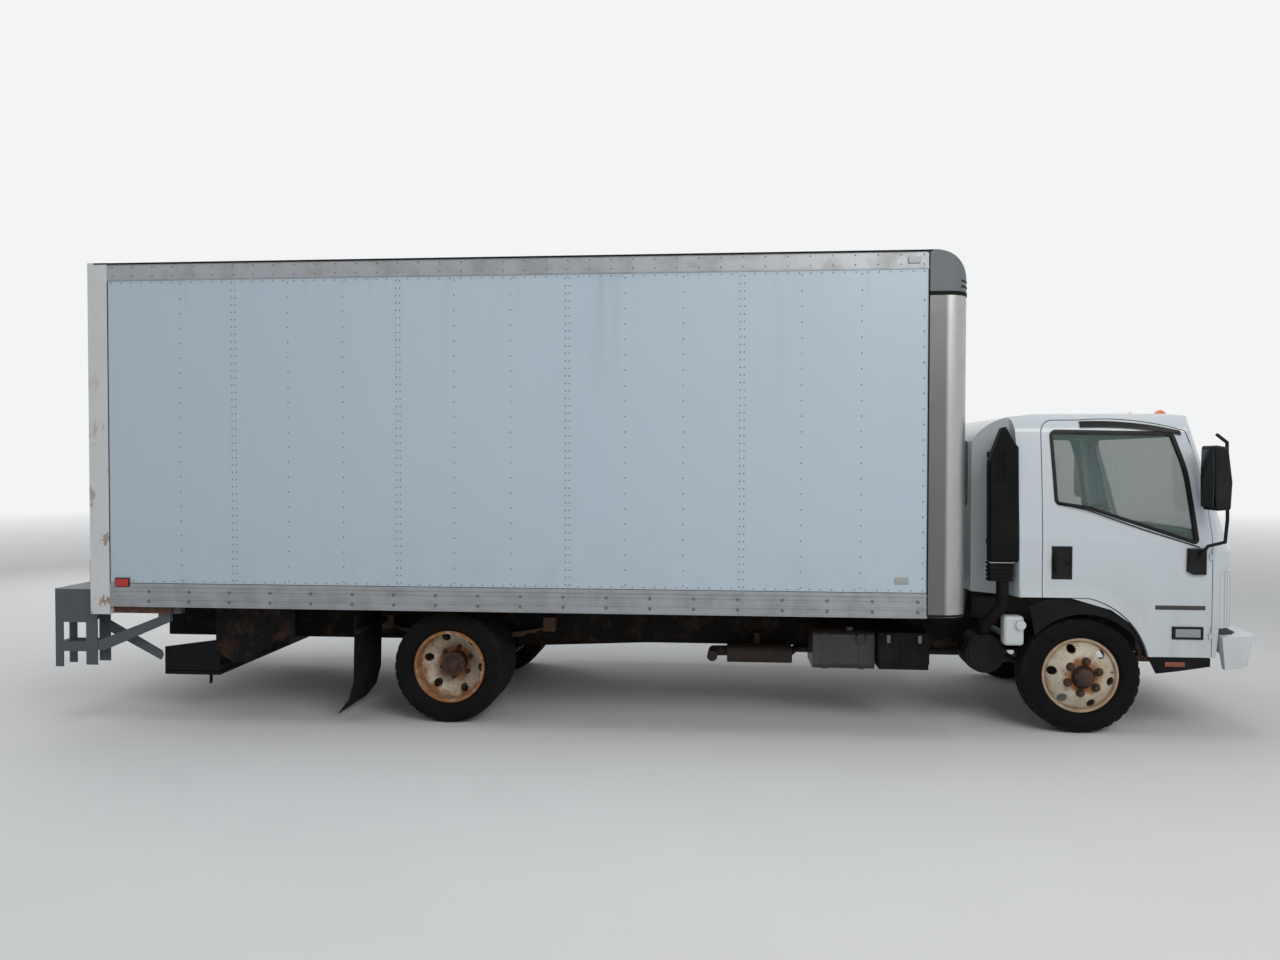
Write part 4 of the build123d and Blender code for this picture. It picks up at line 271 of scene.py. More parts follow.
def tyre_rubber(name, axle_x):
    """Tyre rubber: dusty tread and sidewall with faint rings about the axle."""
    s = Shader(name, (0.008, 0.008, 0.009), 0.7, Specular_IOR_Level=DULL)
    radius = s.radius(axle_x)
    tread = s.slope(radius, 0.372, 0.396)
    cloud = s.ramp(s.noise(8, 6, 0.6), 0.3, 0.8)
    dust = s.times(s.plus(s.times(tread, 0.45), 0.12), cloud, True)
    s.paint(s.mix(dust, (0.007, 0.007, 0.0075), (0.050, 0.045, 0.039)))
    s.put("Roughness", s.slope(dust, -1.6, 0.9))
    rings = s.math("SINE", s.times(radius, 620.0))
    s.bump(s.plus(s.times(rings, 0.2), s.noise(130, 4)), 0.22, 0.0008)
    return s.mat


def woven(name, color):
    """Seat cloth with a fine weave."""
    s = Shader(name, color, 0.9, Sheen_Weight=0.3)
    thread = 0.0016
    weave = s.node("ShaderNodeTexBrick", {"Vector": s.place, "Scale": 0.25 / thread}).outputs["Fac"]
    s.paint(s.mix(weave, color, tuple(c * 0.55 for c in color)))
    s.bump(weave, 0.3, 0.0006)
    return s.mat


def panel_paint(name):
    """Van side sheet: pale blue white, with faint clouding, scuffs, runs from the top and soil below."""
    color = (0.50, 0.60, 0.69)
    s = Shader(name, color, 0.32, Coat_Weight=0.2, Coat_Roughness=0.2)
    wash = s.ramp(s.noise(0.9, 5, 0.6, at=s.stretch(1, 1, 0.35)), 0.3, 0.75)
    base = s.over(color, (0.57, 0.65, 0.72), wash, 0.35)
    scuff = s.ramp(s.noise(5, 8, 0.75, at=s.stretch(0.12, 1, 3.2)), 0.66, 0.72)
    base = s.over(base, (0.50, 0.52, 0.53), scuff, 0.35)
    run = s.ramp(s.noise(7, 6, 0.6, at=s.stretch(1, 1, 0.07)), 0.55, 0.8)
    top = s.slope(s.axis("Z"), 2.2, 3.25)
    base = s.over(base, (0.34, 0.36, 0.37), s.times(run, top), 0.4)
    foot = s.slope(s.axis("Z"), 1.5, 1.0)
    soil = s.ramp(s.noise(4, 7, 0.65), 0.4, 0.8)
    s.paint(s.over(base, (0.36, 0.35, 0.31), s.times(foot, soil), 0.3))
    s.rougher(wash, 0.12, 0.26)
    s.bump(s.noise(1.7, 2, at=s.stretch(0.9, 1, 1)), 0.25, 0.012)
    return s.mat


def rear_post_paint(name):
    """White frame of the rear opening, scraped to brown rust, most of it low down."""
    color = (0.70, 0.72, 0.73)
    s = Shader(name, color, 0.4, Coat_Weight=0.1)
    chips = s.ramp(s.noise(9, 9, 0.72, at=s.stretch(1, 1, 0.55)), 0.56, 0.6)
    low = s.slope(s.axis("Z"), 2.6, 0.9)
    where = s.times(chips, s.plus(s.times(low, 0.75), 0.12), True)
    rust = s.mix(s.noise(45, 5), (0.15, 0.06, 0.025), (0.40, 0.19, 0.08))
    film = s.ramp(s.noise(3, 6), 0.3, 0.8)
    s.paint(s.mix(where, s.over(color, (0.42, 0.40, 0.35), film, 0.2), rust))
    s.rougher(where, 0.4, 0.38)
    s.bump(where, 0.3, -0.0008)
    return s.mat


def cab_inside(s):
    """One on the faces inside the cab, zero on its skin."""
    x, y, z = (s.axis(name) for name in "XYZ")

    def past(value, level):
        return s.math("MAXIMUM", s.minus(value, level), 0.0)

    # The sides lean in above the belt, and the face leans back and is round in plan
    rise = s.times(s.slope(z, 1.35, 2.107), 1.0, True)
    lean = s.times(s.math("POWER", rise, 1.5), 0.062)
    wide = s.math("ABSOLUTE", y)
    across = s.slope(s.plus(wide, lean), 0.974, 0.970)
    ahead = s.plus(x, s.times(past(z, 1.29), 0.33))
    outer = s.math("POWER", past(wide, 0.78), 1.5)
    front = s.slope(s.plus(ahead, s.times(outer, 3.4)), 4.145, 4.141)
    back = s.slope(x, 2.428, 2.432)
    corner = s.slope(s.minus(wide, s.times(s.minus(x, 2.405), 0.813)), 0.668, 0.664)
    room = s.times(s.times(across, front), s.times(back, corner))
    height = s.times(s.slope(z, 2.095, 2.085), s.slope(z, 0.985, 0.99))
    normal = s.node("ShaderNodeNewGeometry").outputs["True Normal"]
    facing_down = s.slope(s.node("ShaderNodeSeparateXYZ", {0: normal}).outputs["Z"], -0.15, -0.25)
    headliner = s.times(facing_down, s.slope(z, 2.0, 2.01))
    return s.times(s.math("MAXIMUM", height, headliner), s.math("MAXIMUM", room, headliner), True)


def cab_paint(name):
    """Cab enamel: bluish white, grimy towards the sills, and dark on the faces inside."""
    color = (0.60, 0.655, 0.695)
    s = Shader(name, color, 0.25, Coat_Weight=0.4, Coat_Roughness=0.08)
    wash = s.ramp(s.noise(1.4, 5, 0.55), 0.3, 0.8)
    base = s.over(color, (0.66, 0.69, 0.70), wash, 0.2)
    streak = s.ramp(s.noise(6, 7, 0.65, at=s.stretch(1, 1, 0.22)), 0.45, 0.82)
    low = s.slope(s.axis("Z"), 1.25, 0.55)
    soil = s.times(s.plus(streak, 0.25), s.times(low, 0.6), True)
    base = s.mix(soil, base, (0.29, 0.27, 0.23))
    speck = s.ramp(s.noise(60, 5, 0.7), 0.71, 0.73)
    base = s.over(base, (0.25, 0.11, 0.05), speck, low)
    inner = cab_inside(s)
    s.paint(s.mix(inner, base, (0.060, 0.063, 0.064)))
    s.rougher(s.plus(soil, inner, True), 0.5, 0.24)
    s.put("Coat Weight", s.minus(0.4, s.times(inner, 0.4)))
    return s.mat


def corner_metal(name):
    """Bare aluminium wrap: upright grain, a painted highlight where it turns the corner, stained low down."""
    s = Shader(name, (0.22, 0.22, 0.215), 0.38, 0.85)
    grain = s.noise(3.0, 5, 0.7, at=s.stretch(90, 90, 1.4))
    # Painted highlight: a pale band laid over the round corner near the front
    turn = s.slope(s.axis("X"), 2.098, 2.122)
    base = s.mix(grain, (0.12, 0.125, 0.12), (0.19, 0.195, 0.19))
    base = s.over(base, (0.52, 0.53, 0.52), turn, 0.75)
    grime = s.ramp(s.noise(4, 7, 0.65), 0.45, 0.8)
    low = s.slope(s.axis("Z"), 2.0, 0.9)
    s.paint(s.over(base, (0.13, 0.12, 0.10), grime, s.plus(s.times(low, 0.3), 0.15)))
    s.rougher(grime, 0.25, 0.32)
    s.bump(grain, 0.08, 0.0004)
    return s.mat


def roof_look(name):
    """White roof sheet over bows: shallow ribs, dark streaks and dull patches."""
    color = (0.46, 0.485, 0.50)
    s = Shader(name, color, 0.7, Specular_IOR_Level=0.15)
    bow = s.slope(s.math("PINGPONG", s.axis("X"), 0.305), 0.016, 0.004)
    head = s.slope(s.math("PINGPONG", s.axis("Y"), 0.038), 0.006, 0.002)
    stain = s.ramp(s.noise(3, 7, 0.65, at=s.stretch(0.5, 1.6, 1)), 0.4, 0.8)
    base = s.over(color, (0.28, 0.275, 0.26), stain, 0.45)
    s.paint(s.over(base, (0.20, 0.21, 0.21), bow, s.times(head, 0.6)))
    s.rougher(stain, 0.2, 0.65)
    s.bump(s.plus(s.times(bow, 0.6), s.noise(1.3, 3)), 0.3, 0.004)
    return s.mat


def step_paint(name):
    """Blue grey step paint, rusting in patches and worn to pale metal on top."""
    color = (0.1155, 0.128, 0.14)
    s = Shader(name, color, 0.6, Specular_IOR_Level=DULL)
    patch = s.ramp(s.noise(7, 8, 0.65), 0.56, 0.72)
    base = s.over(color, (0.11, 0.055, 0.027), patch, 0.33)
    worn = s.times(s.slope(s.axis("Z"), 0.948, 0.953), s.slope(patch, 1.4, 0.0))
    s.paint(s.mix(worn, base, (0.33, 0.35, 0.36)))
    s.bump(s.noise(120, 5), 0.25, 0.0012)
    return s.mat


def galvanised(name):
    """Dull galvanised steel with brown bleeding from its edges."""
    s = Shader(name, (0.33, 0.34, 0.34), 0.5, 0.55)
    spangle = s.node("ShaderNodeTexVoronoi", {"Vector": s.place, "Scale": 38}).outputs["Distance"]
    base = s.mix(spangle, (0.27, 0.28, 0.28), (0.45, 0.46, 0.46))
    rust = s.ramp(s.noise(11, 8, 0.7), 0.55, 0.68)
    s.paint(s.over(base, (0.20, 0.105, 0.055), rust, 0.55))
    s.put("Metallic", s.minus(0.55, s.times(rust, 0.4)))
    s.rougher(rust, 0.3, 0.45)
    s.bump(s.noise(90, 5), 0.2, 0.0008)
    return s.mat


def plank_floor(name):
    """Worn hardwood deck boards."""
    s = Shader(name, (0.30, 0.19, 0.10), 0.65)
    grain = s.noise(3, 8, 0.7, at=s.stretch(0.6, 14, 10))
    base = s.mix(grain, (0.20, 0.125, 0.07), (0.43, 0.30, 0.18))
    gap = s.slope(s.math("PINGPONG", s.axis("Y"), 0.075), 0.003, 0.0)
    s.paint(s.mix(gap, base, (0.05, 0.035, 0.025)))
    s.bump(s.minus(grain, gap), 0.3, 0.002)
    return s.mat


def body_lamp_look(name):
    """Red ribbed lenses; the pair at the front of the top rail is painted over with the rail."""
    s = Shader(name, (0.5, 0.02, 0.015), 0.2, Coat_Weight=0.4)
    stripe = s.slope(s.math("PINGPONG", s.axis("Z"), 0.004), 0.001, 0.003)
    base = s.mix(stripe, (0.42, 0.012, 0.010), (0.62, 0.022, 0.016))
    s.paint(s.mix(s.slope(s.axis("X"), 1.0, 1.1), base, (0.36, 0.37, 0.37)))
    s.bump(stripe, 0.2, 0.0006)
    return s.mat


def cab_lamp_look(name):
    """Clear headlamps low down and amber domes on the roof, with a ribbed pattern."""
    s = Shader(name, (0.5, 0.5, 0.5), 0.08, Coat_Weight=0.6, Coat_Roughness=0.03)
    high = s.slope(s.axis("Z"), 1.55, 1.60)
    ridge = s.slope(s.math("PINGPONG", s.axis("Y"), 0.011), 0.002, 0.009)
    clear = s.mix(ridge, (0.42, 0.44, 0.45), (0.72, 0.74, 0.75))
    s.paint(s.mix(high, clear, (0.78, 0.17, 0.015)))
    s.bump(ridge, 0.3, 0.0012)
    return s.mat


def fittings_look(name):
    """Black door fittings, a little dusty."""
    s = Shader(name, (0.008, 0.008, 0.009), 0.4, Specular_IOR_Level=0.2)
    dust = s.ramp(s.noise(6, 5), 0.4, 0.85)
    s.paint(s.mix(dust, (0.007, 0.007, 0.008), (0.020, 0.020, 0.019)))
    s.bump(s.noise(260, 3), 0.16, 0.0004)
    return s.mat


# Looks of the CAD nodes
chassis_paint = chassis_black("chassis paint", rust=0.45)
axle_paint = chassis_black("axle paint", (0.0105, 0.00945, 0.0084), rust=0.7, dust=0.35)
bearer_paint = chassis_black("bearer paint", (0.01575, 0.0147, 0.0133), rust=0.8)
lift_black = chassis_black("lift black", (0.007, 0.007, 0.00735), rust=0.5, dust=0.25)
platform_paint = chassis_black("platform blue black", (0.0084, 0.00945, 0.01155), rust=0.15, dust=0.35)
spring_steel = rusty("spring steel", (0.055, 0.040, 0.030), (0.20, 0.10, 0.05))
hub_rust = rusty("hub rust", (0.028, 0.017, 0.012), (0.135, 0.062, 0.030))
engine_metal = rusty("engine casting", (0.10, 0.098, 0.092), (0.20, 0.15, 0.10), 0.35)
exhaust_steel = rusty("exhaust steel", (0.02, 0.016, 0.013), (0.06, 0.03, 0.018), 0.6)
cab_enamel = cab_paint("cab enamel")
side_sheet = panel_paint("body side sheet")
rail_metal = brushed("rail aluminium", (0.29, 0.31, 0.33), "X", rough=0.42, amount=0.5, bright=0.12)
door_sheet = painted("roll door white", (0.66, 0.69, 0.70), amount=0.4, low=0.8, high=1.6)
bumper_white = painted("bumper white", (0.68, 0.72, 0.74), rough=0.35, chips=0.02, low=0.45, high=0.8)
tank_paint = painted("tank paint", (0.018, 0.018, 0.018), dirt=(0.06, 0.055, 0.05), amount=0.5, rough=0.45,
                     chips=0.04, low=0.4, high=0.9)
black_trim = moulded("black trim", (0.0088, 0.0092, 0.0096), 0.42)
reservoir = moulded("reservoir white", (0.62, 0.66, 0.67), 0.35, Subsurface_Weight=0.2)
dash_grey = moulded("dashboard grey", (0.022, 0.0224, 0.0232), 0.6)
seat_cloth = woven("seat cloth", (0.085, 0.092, 0.10))
flap_rubber = rubber("mud flap rubber", (0.0088, 0.0088, 0.0088), 0.45)
window = clear_glass("window glass")


def dress(nodes, look):
    """Give every slot of these CAD nodes one look."""
    for node in nodes.split():
        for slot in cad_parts[node].material_slots:
            slot.material = look


dress("frame_rails", chassis_paint)
dress("crossmembers", chassis_black("crossmember paint", rust=0.6))
dress("front_axle rear_axle tie_rod driveshaft", axle_paint)
dress("front_springs rear_springs", spring_steel)
dress("knuckle_right knuckle_left", hub_rust)
dress("engine", engine_metal)
dress("exhaust", exhaust_steel)
dress("floor_bearers", bearer_paint)
dress("load_floor", plank_floor("deck boards"))
dress("side_walls", side_sheet)
dress("body_rails", rail_metal)
dress("roof", roof_look("roof sheet"))
dress("front_wall", corner_metal("corner aluminium"))
dress("front_cap", moulded("cap grey", (0.135, 0.155, 0.170), 0.5, dust=0.2))
dress("rear_frame", rear_post_paint("rear post white"))
dress("roll_up_door", door_sheet)
dress("rear_step", step_paint("step blue grey"))
dress("lift_frame lift_arms", lift_black)
dress("lift_platform", platform_paint)
dress("mud_flaps", flap_rubber)
dress("front_bumper", bumper_white)
dress("fuel_tank", tank_paint)
dress("battery_box", moulded("battery cover", (0.0088, 0.0088, 0.0084), 0.5, dust=0.35))
dress("air_cleaner", moulded("duct black", (0.0096, 0.0096, 0.01), 0.5, dust=0.3))
dress("expansion_tank", reservoir)
dress("body_lamps", body_lamp_look("body lamp red"))
dress("cab_shell door_right door_left", cab_enamel)
dress("cab_glass door_glass_right door_glass_left", window)
dress("door_fittings_right door_fittings_left", fittings_look("door fitting black"))
dress("cab_underframe", chassis_black("cab underframe paint"))
dress("cab_lamps", cab_lamp_look("cab lamp lens"))
dress("cab_trim", moulded("grille trim", (0.012, 0.0124, 0.0128), 0.45, dust=0.25))
dress("dashboard", dash_grey)
dress("seats", seat_cloth)
dress("snorkel", moulded("snorkel black", (0.008, 0.0084, 0.0088), 0.38, dust=0.12))
dress("steering_wheel", moulded("steering rim black", (0.0072, 0.0072, 0.0076), 0.5))

# Each wheel place: its axle, how far its paint has rusted, and where its tyres stand across the truck
WHEELS = {
    "front_right": (FRONT_AXLE_X, 0.50, [-0.832]),
    "front_left": (FRONT_AXLE_X, 0.45, [0.832]),
    "rear_right": (REAR_AXLE_X, 1.0, [-0.9583, -0.6918]),
    "rear_left": (REAR_AXLE_X, 0.9, [0.9583, 0.6918]),
}


def plural(place):
    """The rear nodes hold a pair of wheels, and their names say so."""
    return "s" if place.startswith("rear") else ""


for place, (axle_x, level, middles) in WHEELS.items():
    dress(f"rim{plural(place)}_{place}", wheel_paint(f"wheel paint {place}", axle_x, level))
    dress(f"hub_{place}", hub_rust)


# Camera, floor and light
def add_camera():
    """Camera at the photograph's place, with its tilt and field of view."""
    yaw, pitch, roll = 0.0837009, 0.0208539, 0.0014780
    ahead = Vector((-math.sin(yaw) * math.cos(pitch), math.cos(yaw) * math.cos(pitch), -math.sin(pitch)))
    level = ahead.cross(Vector((0, 0, 1))).normalized()
    upright = level.cross(ahead)
    right = level * math.cos(roll) + upright * math.sin(roll)
    up = upright * math.cos(roll) - level * math.sin(roll)
    data = bpy.data.cameras.new("camera")
    data.sensor_width = 36
    data.lens = 26.71875
    data.clip_end = 400
    camera = bpy.data.objects.new("camera", data)
    bpy.context.scene.collection.objects.link(camera)
    turn = Matrix((right, up, -ahead)).transposed()
    camera.matrix_world = Matrix.Translation((0.586744, -7.765692, 1.906357)) @ turn.to_4x4()
    bpy.context.scene.camera = camera


def seen_rays(tree):
    """One for camera, mirror and see-through rays, zero for the rays that light the object."""
    path = tree.nodes.new("ShaderNodeLightPath")
    total = path.outputs["Is Camera Ray"]
    for name in ("Is Glossy Ray", "Is Transmission Ray"):
        more = tree.nodes.new("ShaderNodeMath")
        more.operation = "MAXIMUM"
        tree.links.new(total, more.inputs[0])
        tree.links.new(path.outputs[name], more.inputs[1])
        total = more.outputs[0]
    return total


def add_world(backdrop, ambient):
    """Soft sky light, and a plain backdrop for the rays that see it."""
    world = bpy.data.worlds.new("studio")
    bpy.context.scene.world = world
    world.use_nodes = True
    tree = world.node_tree
    light = tree.nodes["Background"]
    light.inputs["Color"].default_value = (0.92, 0.96, 1.0, 1)
    light.inputs["Strength"].default_value = ambient
    white = tree.nodes.new("ShaderNodeBackground")
    white.inputs["Color"].default_value = (*backdrop, 1)
    blend = tree.nodes.new("ShaderNodeMixShader")
    tree.links.new(seen_rays(tree), blend.inputs[0])
    tree.links.new(light.outputs[0], blend.inputs[1])
    tree.links.new(white.outputs[0], blend.inputs[2])
    tree.links.new(blend.outputs[0], tree.nodes["World Output"].inputs[0])


def add_floor(backdrop):
    """A wide pale floor that fades into the backdrop's colour far from the truck."""
    mesh = bpy.data.meshes.new("floor")
    grid = bmesh.new()
    bmesh.ops.create_circle(grid, cap_ends=True, radius=90, segments=96)
    grid.to_mesh(mesh)
    grid.free()
    floor = bpy.data.objects.new("floor", mesh)
    bpy.context.scene.collection.objects.link(floor)
    s = Shader("floor concrete", (0.78, 0.78, 0.775), 0.8, Specular_IOR_Level=0.2)
    s.paint(s.mix(s.noise(1.2, 6), (0.75, 0.75, 0.745), (0.80, 0.80, 0.795)))
    s.bump(s.noise(30, 4), 0.08, 0.002)
    far = s.node("ShaderNodeEmission", {"Color": backdrop})
    distance = s.node("ShaderNodeVectorMath", {0: s.place}, operation="LENGTH")
    fade = s.slope(distance.outputs["Value"], 9.0, 34.0)
    ways = {0: s.times(fade, seen_rays(s.tree)), 1: s.bsdf.outputs[0], 2: far.outputs[0]}
    blend = s.node("ShaderNodeMixShader", ways)
    s.feed(s.tree.nodes["Material Output"].inputs[0], blend.outputs[0])
    mesh.materials.append(s.mat)


def add_lamp(name, at, aim, size, power, color=(1, 1, 1)):
    """Rectangular lamp of a size in metres that faces a point."""
    data = bpy.data.lights.new(name, "AREA")
    data.shape = "RECTANGLE"
    data.size, data.size_y = size
    data.energy = power
    data.color = color
    lamp = bpy.data.objects.new(name, data)
    bpy.context.scene.collection.objects.link(lamp)
    lamp.location = at
    lamp.rotation_euler = (Vector(aim) - Vector(at)).to_track_quat("-Z", "Y").to_euler()


BACKDROP = (0.90, 0.905, 0.91)
bpy.context.scene.view_settings.view_transform = "Standard"
add_camera()
add_world(BACKDROP, 0.40)
add_floor(BACKDROP)
add_lamp("key", (5.5, -9.5, 7.5), (0, 0, 1.2), (7, 5), 440, (1.0, 0.985, 0.96))
add_lamp("top", (-1, 0, 9), (-1, 0, 0), (10, 6), 250)
add_lamp("rear", (-9, 7, 6), (0, 0, 1.5), (6, 5), 230)


class Shape:
    """Collects forms in one mesh, which becomes one piece that rides on a body."""

    def __init__(self):
        self.bm = bmesh.new()

    def ring(self, points):
        return [self.bm.verts.new(point) for point in points]

    def bridge(self, rings):
        """Join each closed ring to the next with faces."""
        for low, high in zip(rings, rings[1:]):
            for k in range(len(low)):
                after = (k + 1) % len(low)
                self.bm.faces.new((low[k], low[after], high[after], high[k]))

    def close(self, rings):
        """Join the rings and cap both ends."""
        self.bridge(rings)
        self.bm.faces.new(list(reversed(rings[0])))
        self.bm.faces.new(rings[-1])

    def bevel(self, edges, width, steps=2):
        bmesh.ops.bevel(self.bm, geom=list(edges), offset=width, segments=steps, profile=0.6,
                        affect="EDGES")

    def box(self, one, other, edge=0.004, steps=2):
        """Block with rounded edges between two opposite corners."""
        made = bmesh.ops.create_cube(self.bm, size=1)["verts"]
        one, other = Vector(one), Vector(other)
        middle = (one + other) / 2
        for vert in made:
            vert.co = Vector(vert.co[k] * abs(other[k] - one[k]) + middle[k] for k in range(3))
        self.bevel({e for vert in made for e in vert.link_edges}, edge, steps)

    def lathe(self, profile, turn, count=24):
        """Turn a profile of (radius, height) about the local Z axis."""
        angles = [2 * math.pi * k / count for k in range(count)]
        ways = [(math.cos(a), math.sin(a)) for a in angles]
        self.close([self.ring(turn @ Vector((radius * x, radius * y, height)) for x, y in ways)
                    for radius, height in profile])

    def tube(self, points, radius, count=8):
        """Round bar along the points, with flat ends."""
        line = [Vector(p) for p in points]
        angles = [2 * math.pi * k / count for k in range(count)]
        rings = []
        side = None
        for k, point in enumerate(line):
            ahead = (line[min(k + 1, len(line) - 1)] - line[max(k - 1, 0)]).normalized()
            side = side or ahead.orthogonal().normalized()
            side = (side - ahead * side.dot(ahead)).normalized()
            up = ahead.cross(side)
            rings.append(self.ring(point + (side * math.cos(a) + up * math.sin(a)) * radius for a in angles))
        self.close(rings)

    def slab(self, outline, axis, near, far, edge=0.0):
        """Flat outline pushed along an axis; its points are the other two coordinates in order."""
        def place(point, depth):
            u, v = point
            return {"X": (depth, u, v), "Y": (u, depth, v)}[axis]
        first = self.ring(place(p, min(near, far)) for p in outline)
        last = self.ring(place(p, max(near, far)) for p in outline)
        ends = [self.bm.faces.new(first), self.bm.faces.new(list(reversed(last)))]
        for k in range(len(outline)):
            after = (k + 1) % len(outline)
            self.bm.faces.new((first[after], first[k], last[k], last[after]))
        if edge:
            self.bevel({e for face in ends for e in face.edges}, edge)

    def rivet(self, at, way, radius, rise, count=8):
        """Low domed head."""
        self.lathe([(radius, 0), (radius * 0.86, rise * 0.6), (radius * 0.45, rise)], facing(at, way), count)

    def rivets(self, xs, ys, zs, way, radius, rise, count=8):
        """Domed heads at every crossing of three lists of places."""
        for at in product(xs, ys, zs):
            self.rivet(at, way, radius, rise, count)

    def bolt(self, at, way, radius, rise):
        """Six-sided head on a washer."""
        turn = facing(at, way)
        self.lathe([(radius * 1.5, 0), (radius * 1.5, rise * 0.25)], turn, 14)
        self.lathe([(radius, 0), (radius, rise * 0.85), (radius * 0.8, rise)], turn, 6)

    def mirrored(self):
        """Add the same forms on the left side."""
        copy = bmesh.ops.duplicate(self.bm, geom=self.bm.verts[:] + self.bm.edges[:] + self.bm.faces[:])
        for item in copy["geom"]:
            if isinstance(item, bmesh.types.BMVert):
                item.co.y = -item.co.y
        faces = [item for item in copy["geom"] if isinstance(item, bmesh.types.BMFace)]
        bmesh.ops.reverse_faces(self.bm, faces=faces)
        return self

    def piece(self, name, look, body, slot, sharp=35):
        """Finish the mesh as a piece; edges past the sharp angle, in degrees, stay sharp."""
        bmesh.ops.recalc_face_normals(self.bm, faces=self.bm.faces[:])
        mesh = bpy.data.meshes.new(name)
        for face in self.bm.faces:
            face.smooth = True
        self.bm.to_mesh(mesh)
        self.bm.free()
        mesh.set_sharp_from_angle(angle=math.radians(sharp))
        mesh.materials.append(look)
        made = bpy.data.objects.new(name, mesh)
        bpy.context.scene.collection.objects.link(made)
        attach(made, body)
        return made


def facing(at, way):
    """Transform whose Z axis points along the way."""
    return Matrix.Translation(at) @ Vector(way).to_track_quat("Z", "Y").to_matrix().to_4x4()


def spaced(low, high, step):
    """Even places from low to high, about a step apart."""
    count = max(round((high - low) / step), 1)
    return [low + (high - low) * k / count for k in range(count + 1)]


def around(count, radius, start=0.0):
    """Offsets (across, up) of places round a circle, from a start angle in degrees."""
    angles = [math.radians(start + 360 / count * k) for k in range(count)]
    return [(radius * math.cos(a), radius * math.sin(a)) for a in angles]


def corners_of(node):
    """Lowest and highest corner of a CAD node."""
    low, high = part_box(node)
    return Vector(low), Vector(high)


# Looks of the pieces
# Black for sealant, gaskets and seams, and for the painted shadow line along the roof edge
sealant_and_shadow_black = moulded("sealant and painted shadow black", (0.012, 0.0124, 0.0128), 0.6)
# Rivet heads far darker than the sheets they hold: painted shade round the heads
rivet_shade_paint = painted("rivet painted shade", (0.19, 0.22, 0.245), amount=0.0, rough=0.5)
bolt_metal = brushed("bolt zinc", (0.13, 0.125, 0.115), "Z", rough=0.45, amount=0.5, bright=0.1)
plate_grey = painted("plate grey", (0.36, 0.38, 0.38), amount=0.2, rough=0.4)
clear_lens = lens("clear lens", (0.34, 0.36, 0.37))
dull_amber = lens("dull amber", (0.28, 0.055, 0.012))
strip_black = painted("strip black", (0.016, 0.016, 0.017), amount=0.0, rough=0.35)
mirror_face = brushed("mirror face", (0.07, 0.075, 0.08), "Z", rough=0.12, amount=0.03, bright=0.03)
seal_rubber = rubber("seal rubber", (0.0056, 0.0056, 0.006), 0.2)
dial_face = painted("dial face", (0.02, 0.02, 0.022), amount=0.05)
seat_frame = moulded("seat frame black", (0.0096, 0.0096, 0.01), 0.5, dust=0.2)
tread_metal = brushed("tread metal", (0.34, 0.35, 0.36), "Y", rough=0.5, amount=0.8, bright=0.12)
hinge_metal = galvanised("hinge galvanised")
sill_rust = rusty("sill rust", (0.060, 0.030, 0.018), (0.22, 0.10, 0.045))

# Ways along the axes
AHEAD = (1, 0, 0)
BEHIND = (-1, 0, 0)
RIGHTWARD = (0, -1, 0)

# Load body: its side face, the sheets set a little into it, and the joints and posts along them
BODY_Y = 1.219
PANEL_Y = 1.213
PANEL_BACK_X = -3.833
PANEL_FRONT_X = 1.987
PANEL_LOW_Z = 1.006
PANEL_HIGH_Z = 3.197
JOINTS = [0.738 - 1.2077 * k for k in range(4)]
POST_STEP = 0.4026
POSTS = [joint + POST_STEP * k for joint in JOINTS for k in (1, 2)] + [JOINTS[-1] - POST_STEP]
RIVET_LOW_Z = PANEL_LOW_Z + 0.03
RIVET_HIGH_Z = PANEL_HIGH_Z - 0.03
LAP_RISE = 0.0012
HEAD_R = 0.0055

# Rivets down the posts, in pairs down the joints, and along the top and foot of the sheets; their heads are
# darkened as painted shade
pairs = [x + shift for x in JOINTS for shift in (-0.014, 0.014)]
shape = Shape()
shape.rivets(POSTS, [-PANEL_Y], spaced(RIVET_LOW_Z, RIVET_HIGH_Z, 0.105), RIGHTWARD, 0.0058, 0.0024)
shape.rivets(pairs, [-PANEL_Y - LAP_RISE], spaced(RIVET_LOW_Z, RIVET_HIGH_Z, 0.052), RIGHTWARD,
             0.0058, 0.0024)
shape.rivets(spaced(PANEL_BACK_X + 0.03, PANEL_FRONT_X - 0.03, 0.076), [-PANEL_Y],
             (PANEL_LOW_Z + 0.018, PANEL_HIGH_Z - 0.018), RIGHTWARD, HEAD_R, 0.0022, 7)
shape.mirrored().piece("panel_rivets", rivet_shade_paint, "chassis", "body_paint")

# A thin lap of sheet at each joint
shape = Shape()
for x in JOINTS:
    shape.box((x - 0.027, -PANEL_Y - 0.0014, PANEL_LOW_Z), (x + 0.027, -PANEL_Y + 0.0006, PANEL_HIGH_Z),
              0.0005, 1)
shape.mirrored().piece("panel_laps", side_sheet, "chassis", "body_paint")

# Bolt pairs of the bottom rail, rivets of the top rail
shape = Shape()
for x, z in product([-3.536 + 0.3035 * k for k in range(19)], (0.877, 0.948)):
    shape.bolt((x, -BODY_Y, z), RIGHTWARD, 0.008, 0.006)
shape.rivets(spaced(-3.79, 1.95, 0.152), [-BODY_Y], (3.228, 3.292), RIGHTWARD, 0.006, 0.003)
shape.mirrored().piece("rail_bolts", bolt_metal, "chassis", "bare_aluminium", 30)


def side_strip(shape, near_x, far_x, low_z, high_z, proud, sunk=0.001, edge=0.001, steps=1):
    """Strip on the right side face of the body."""
    shape.box((near_x, -BODY_Y - proud, low_z), (far_x, -BODY_Y + sunk, high_z), edge, steps)
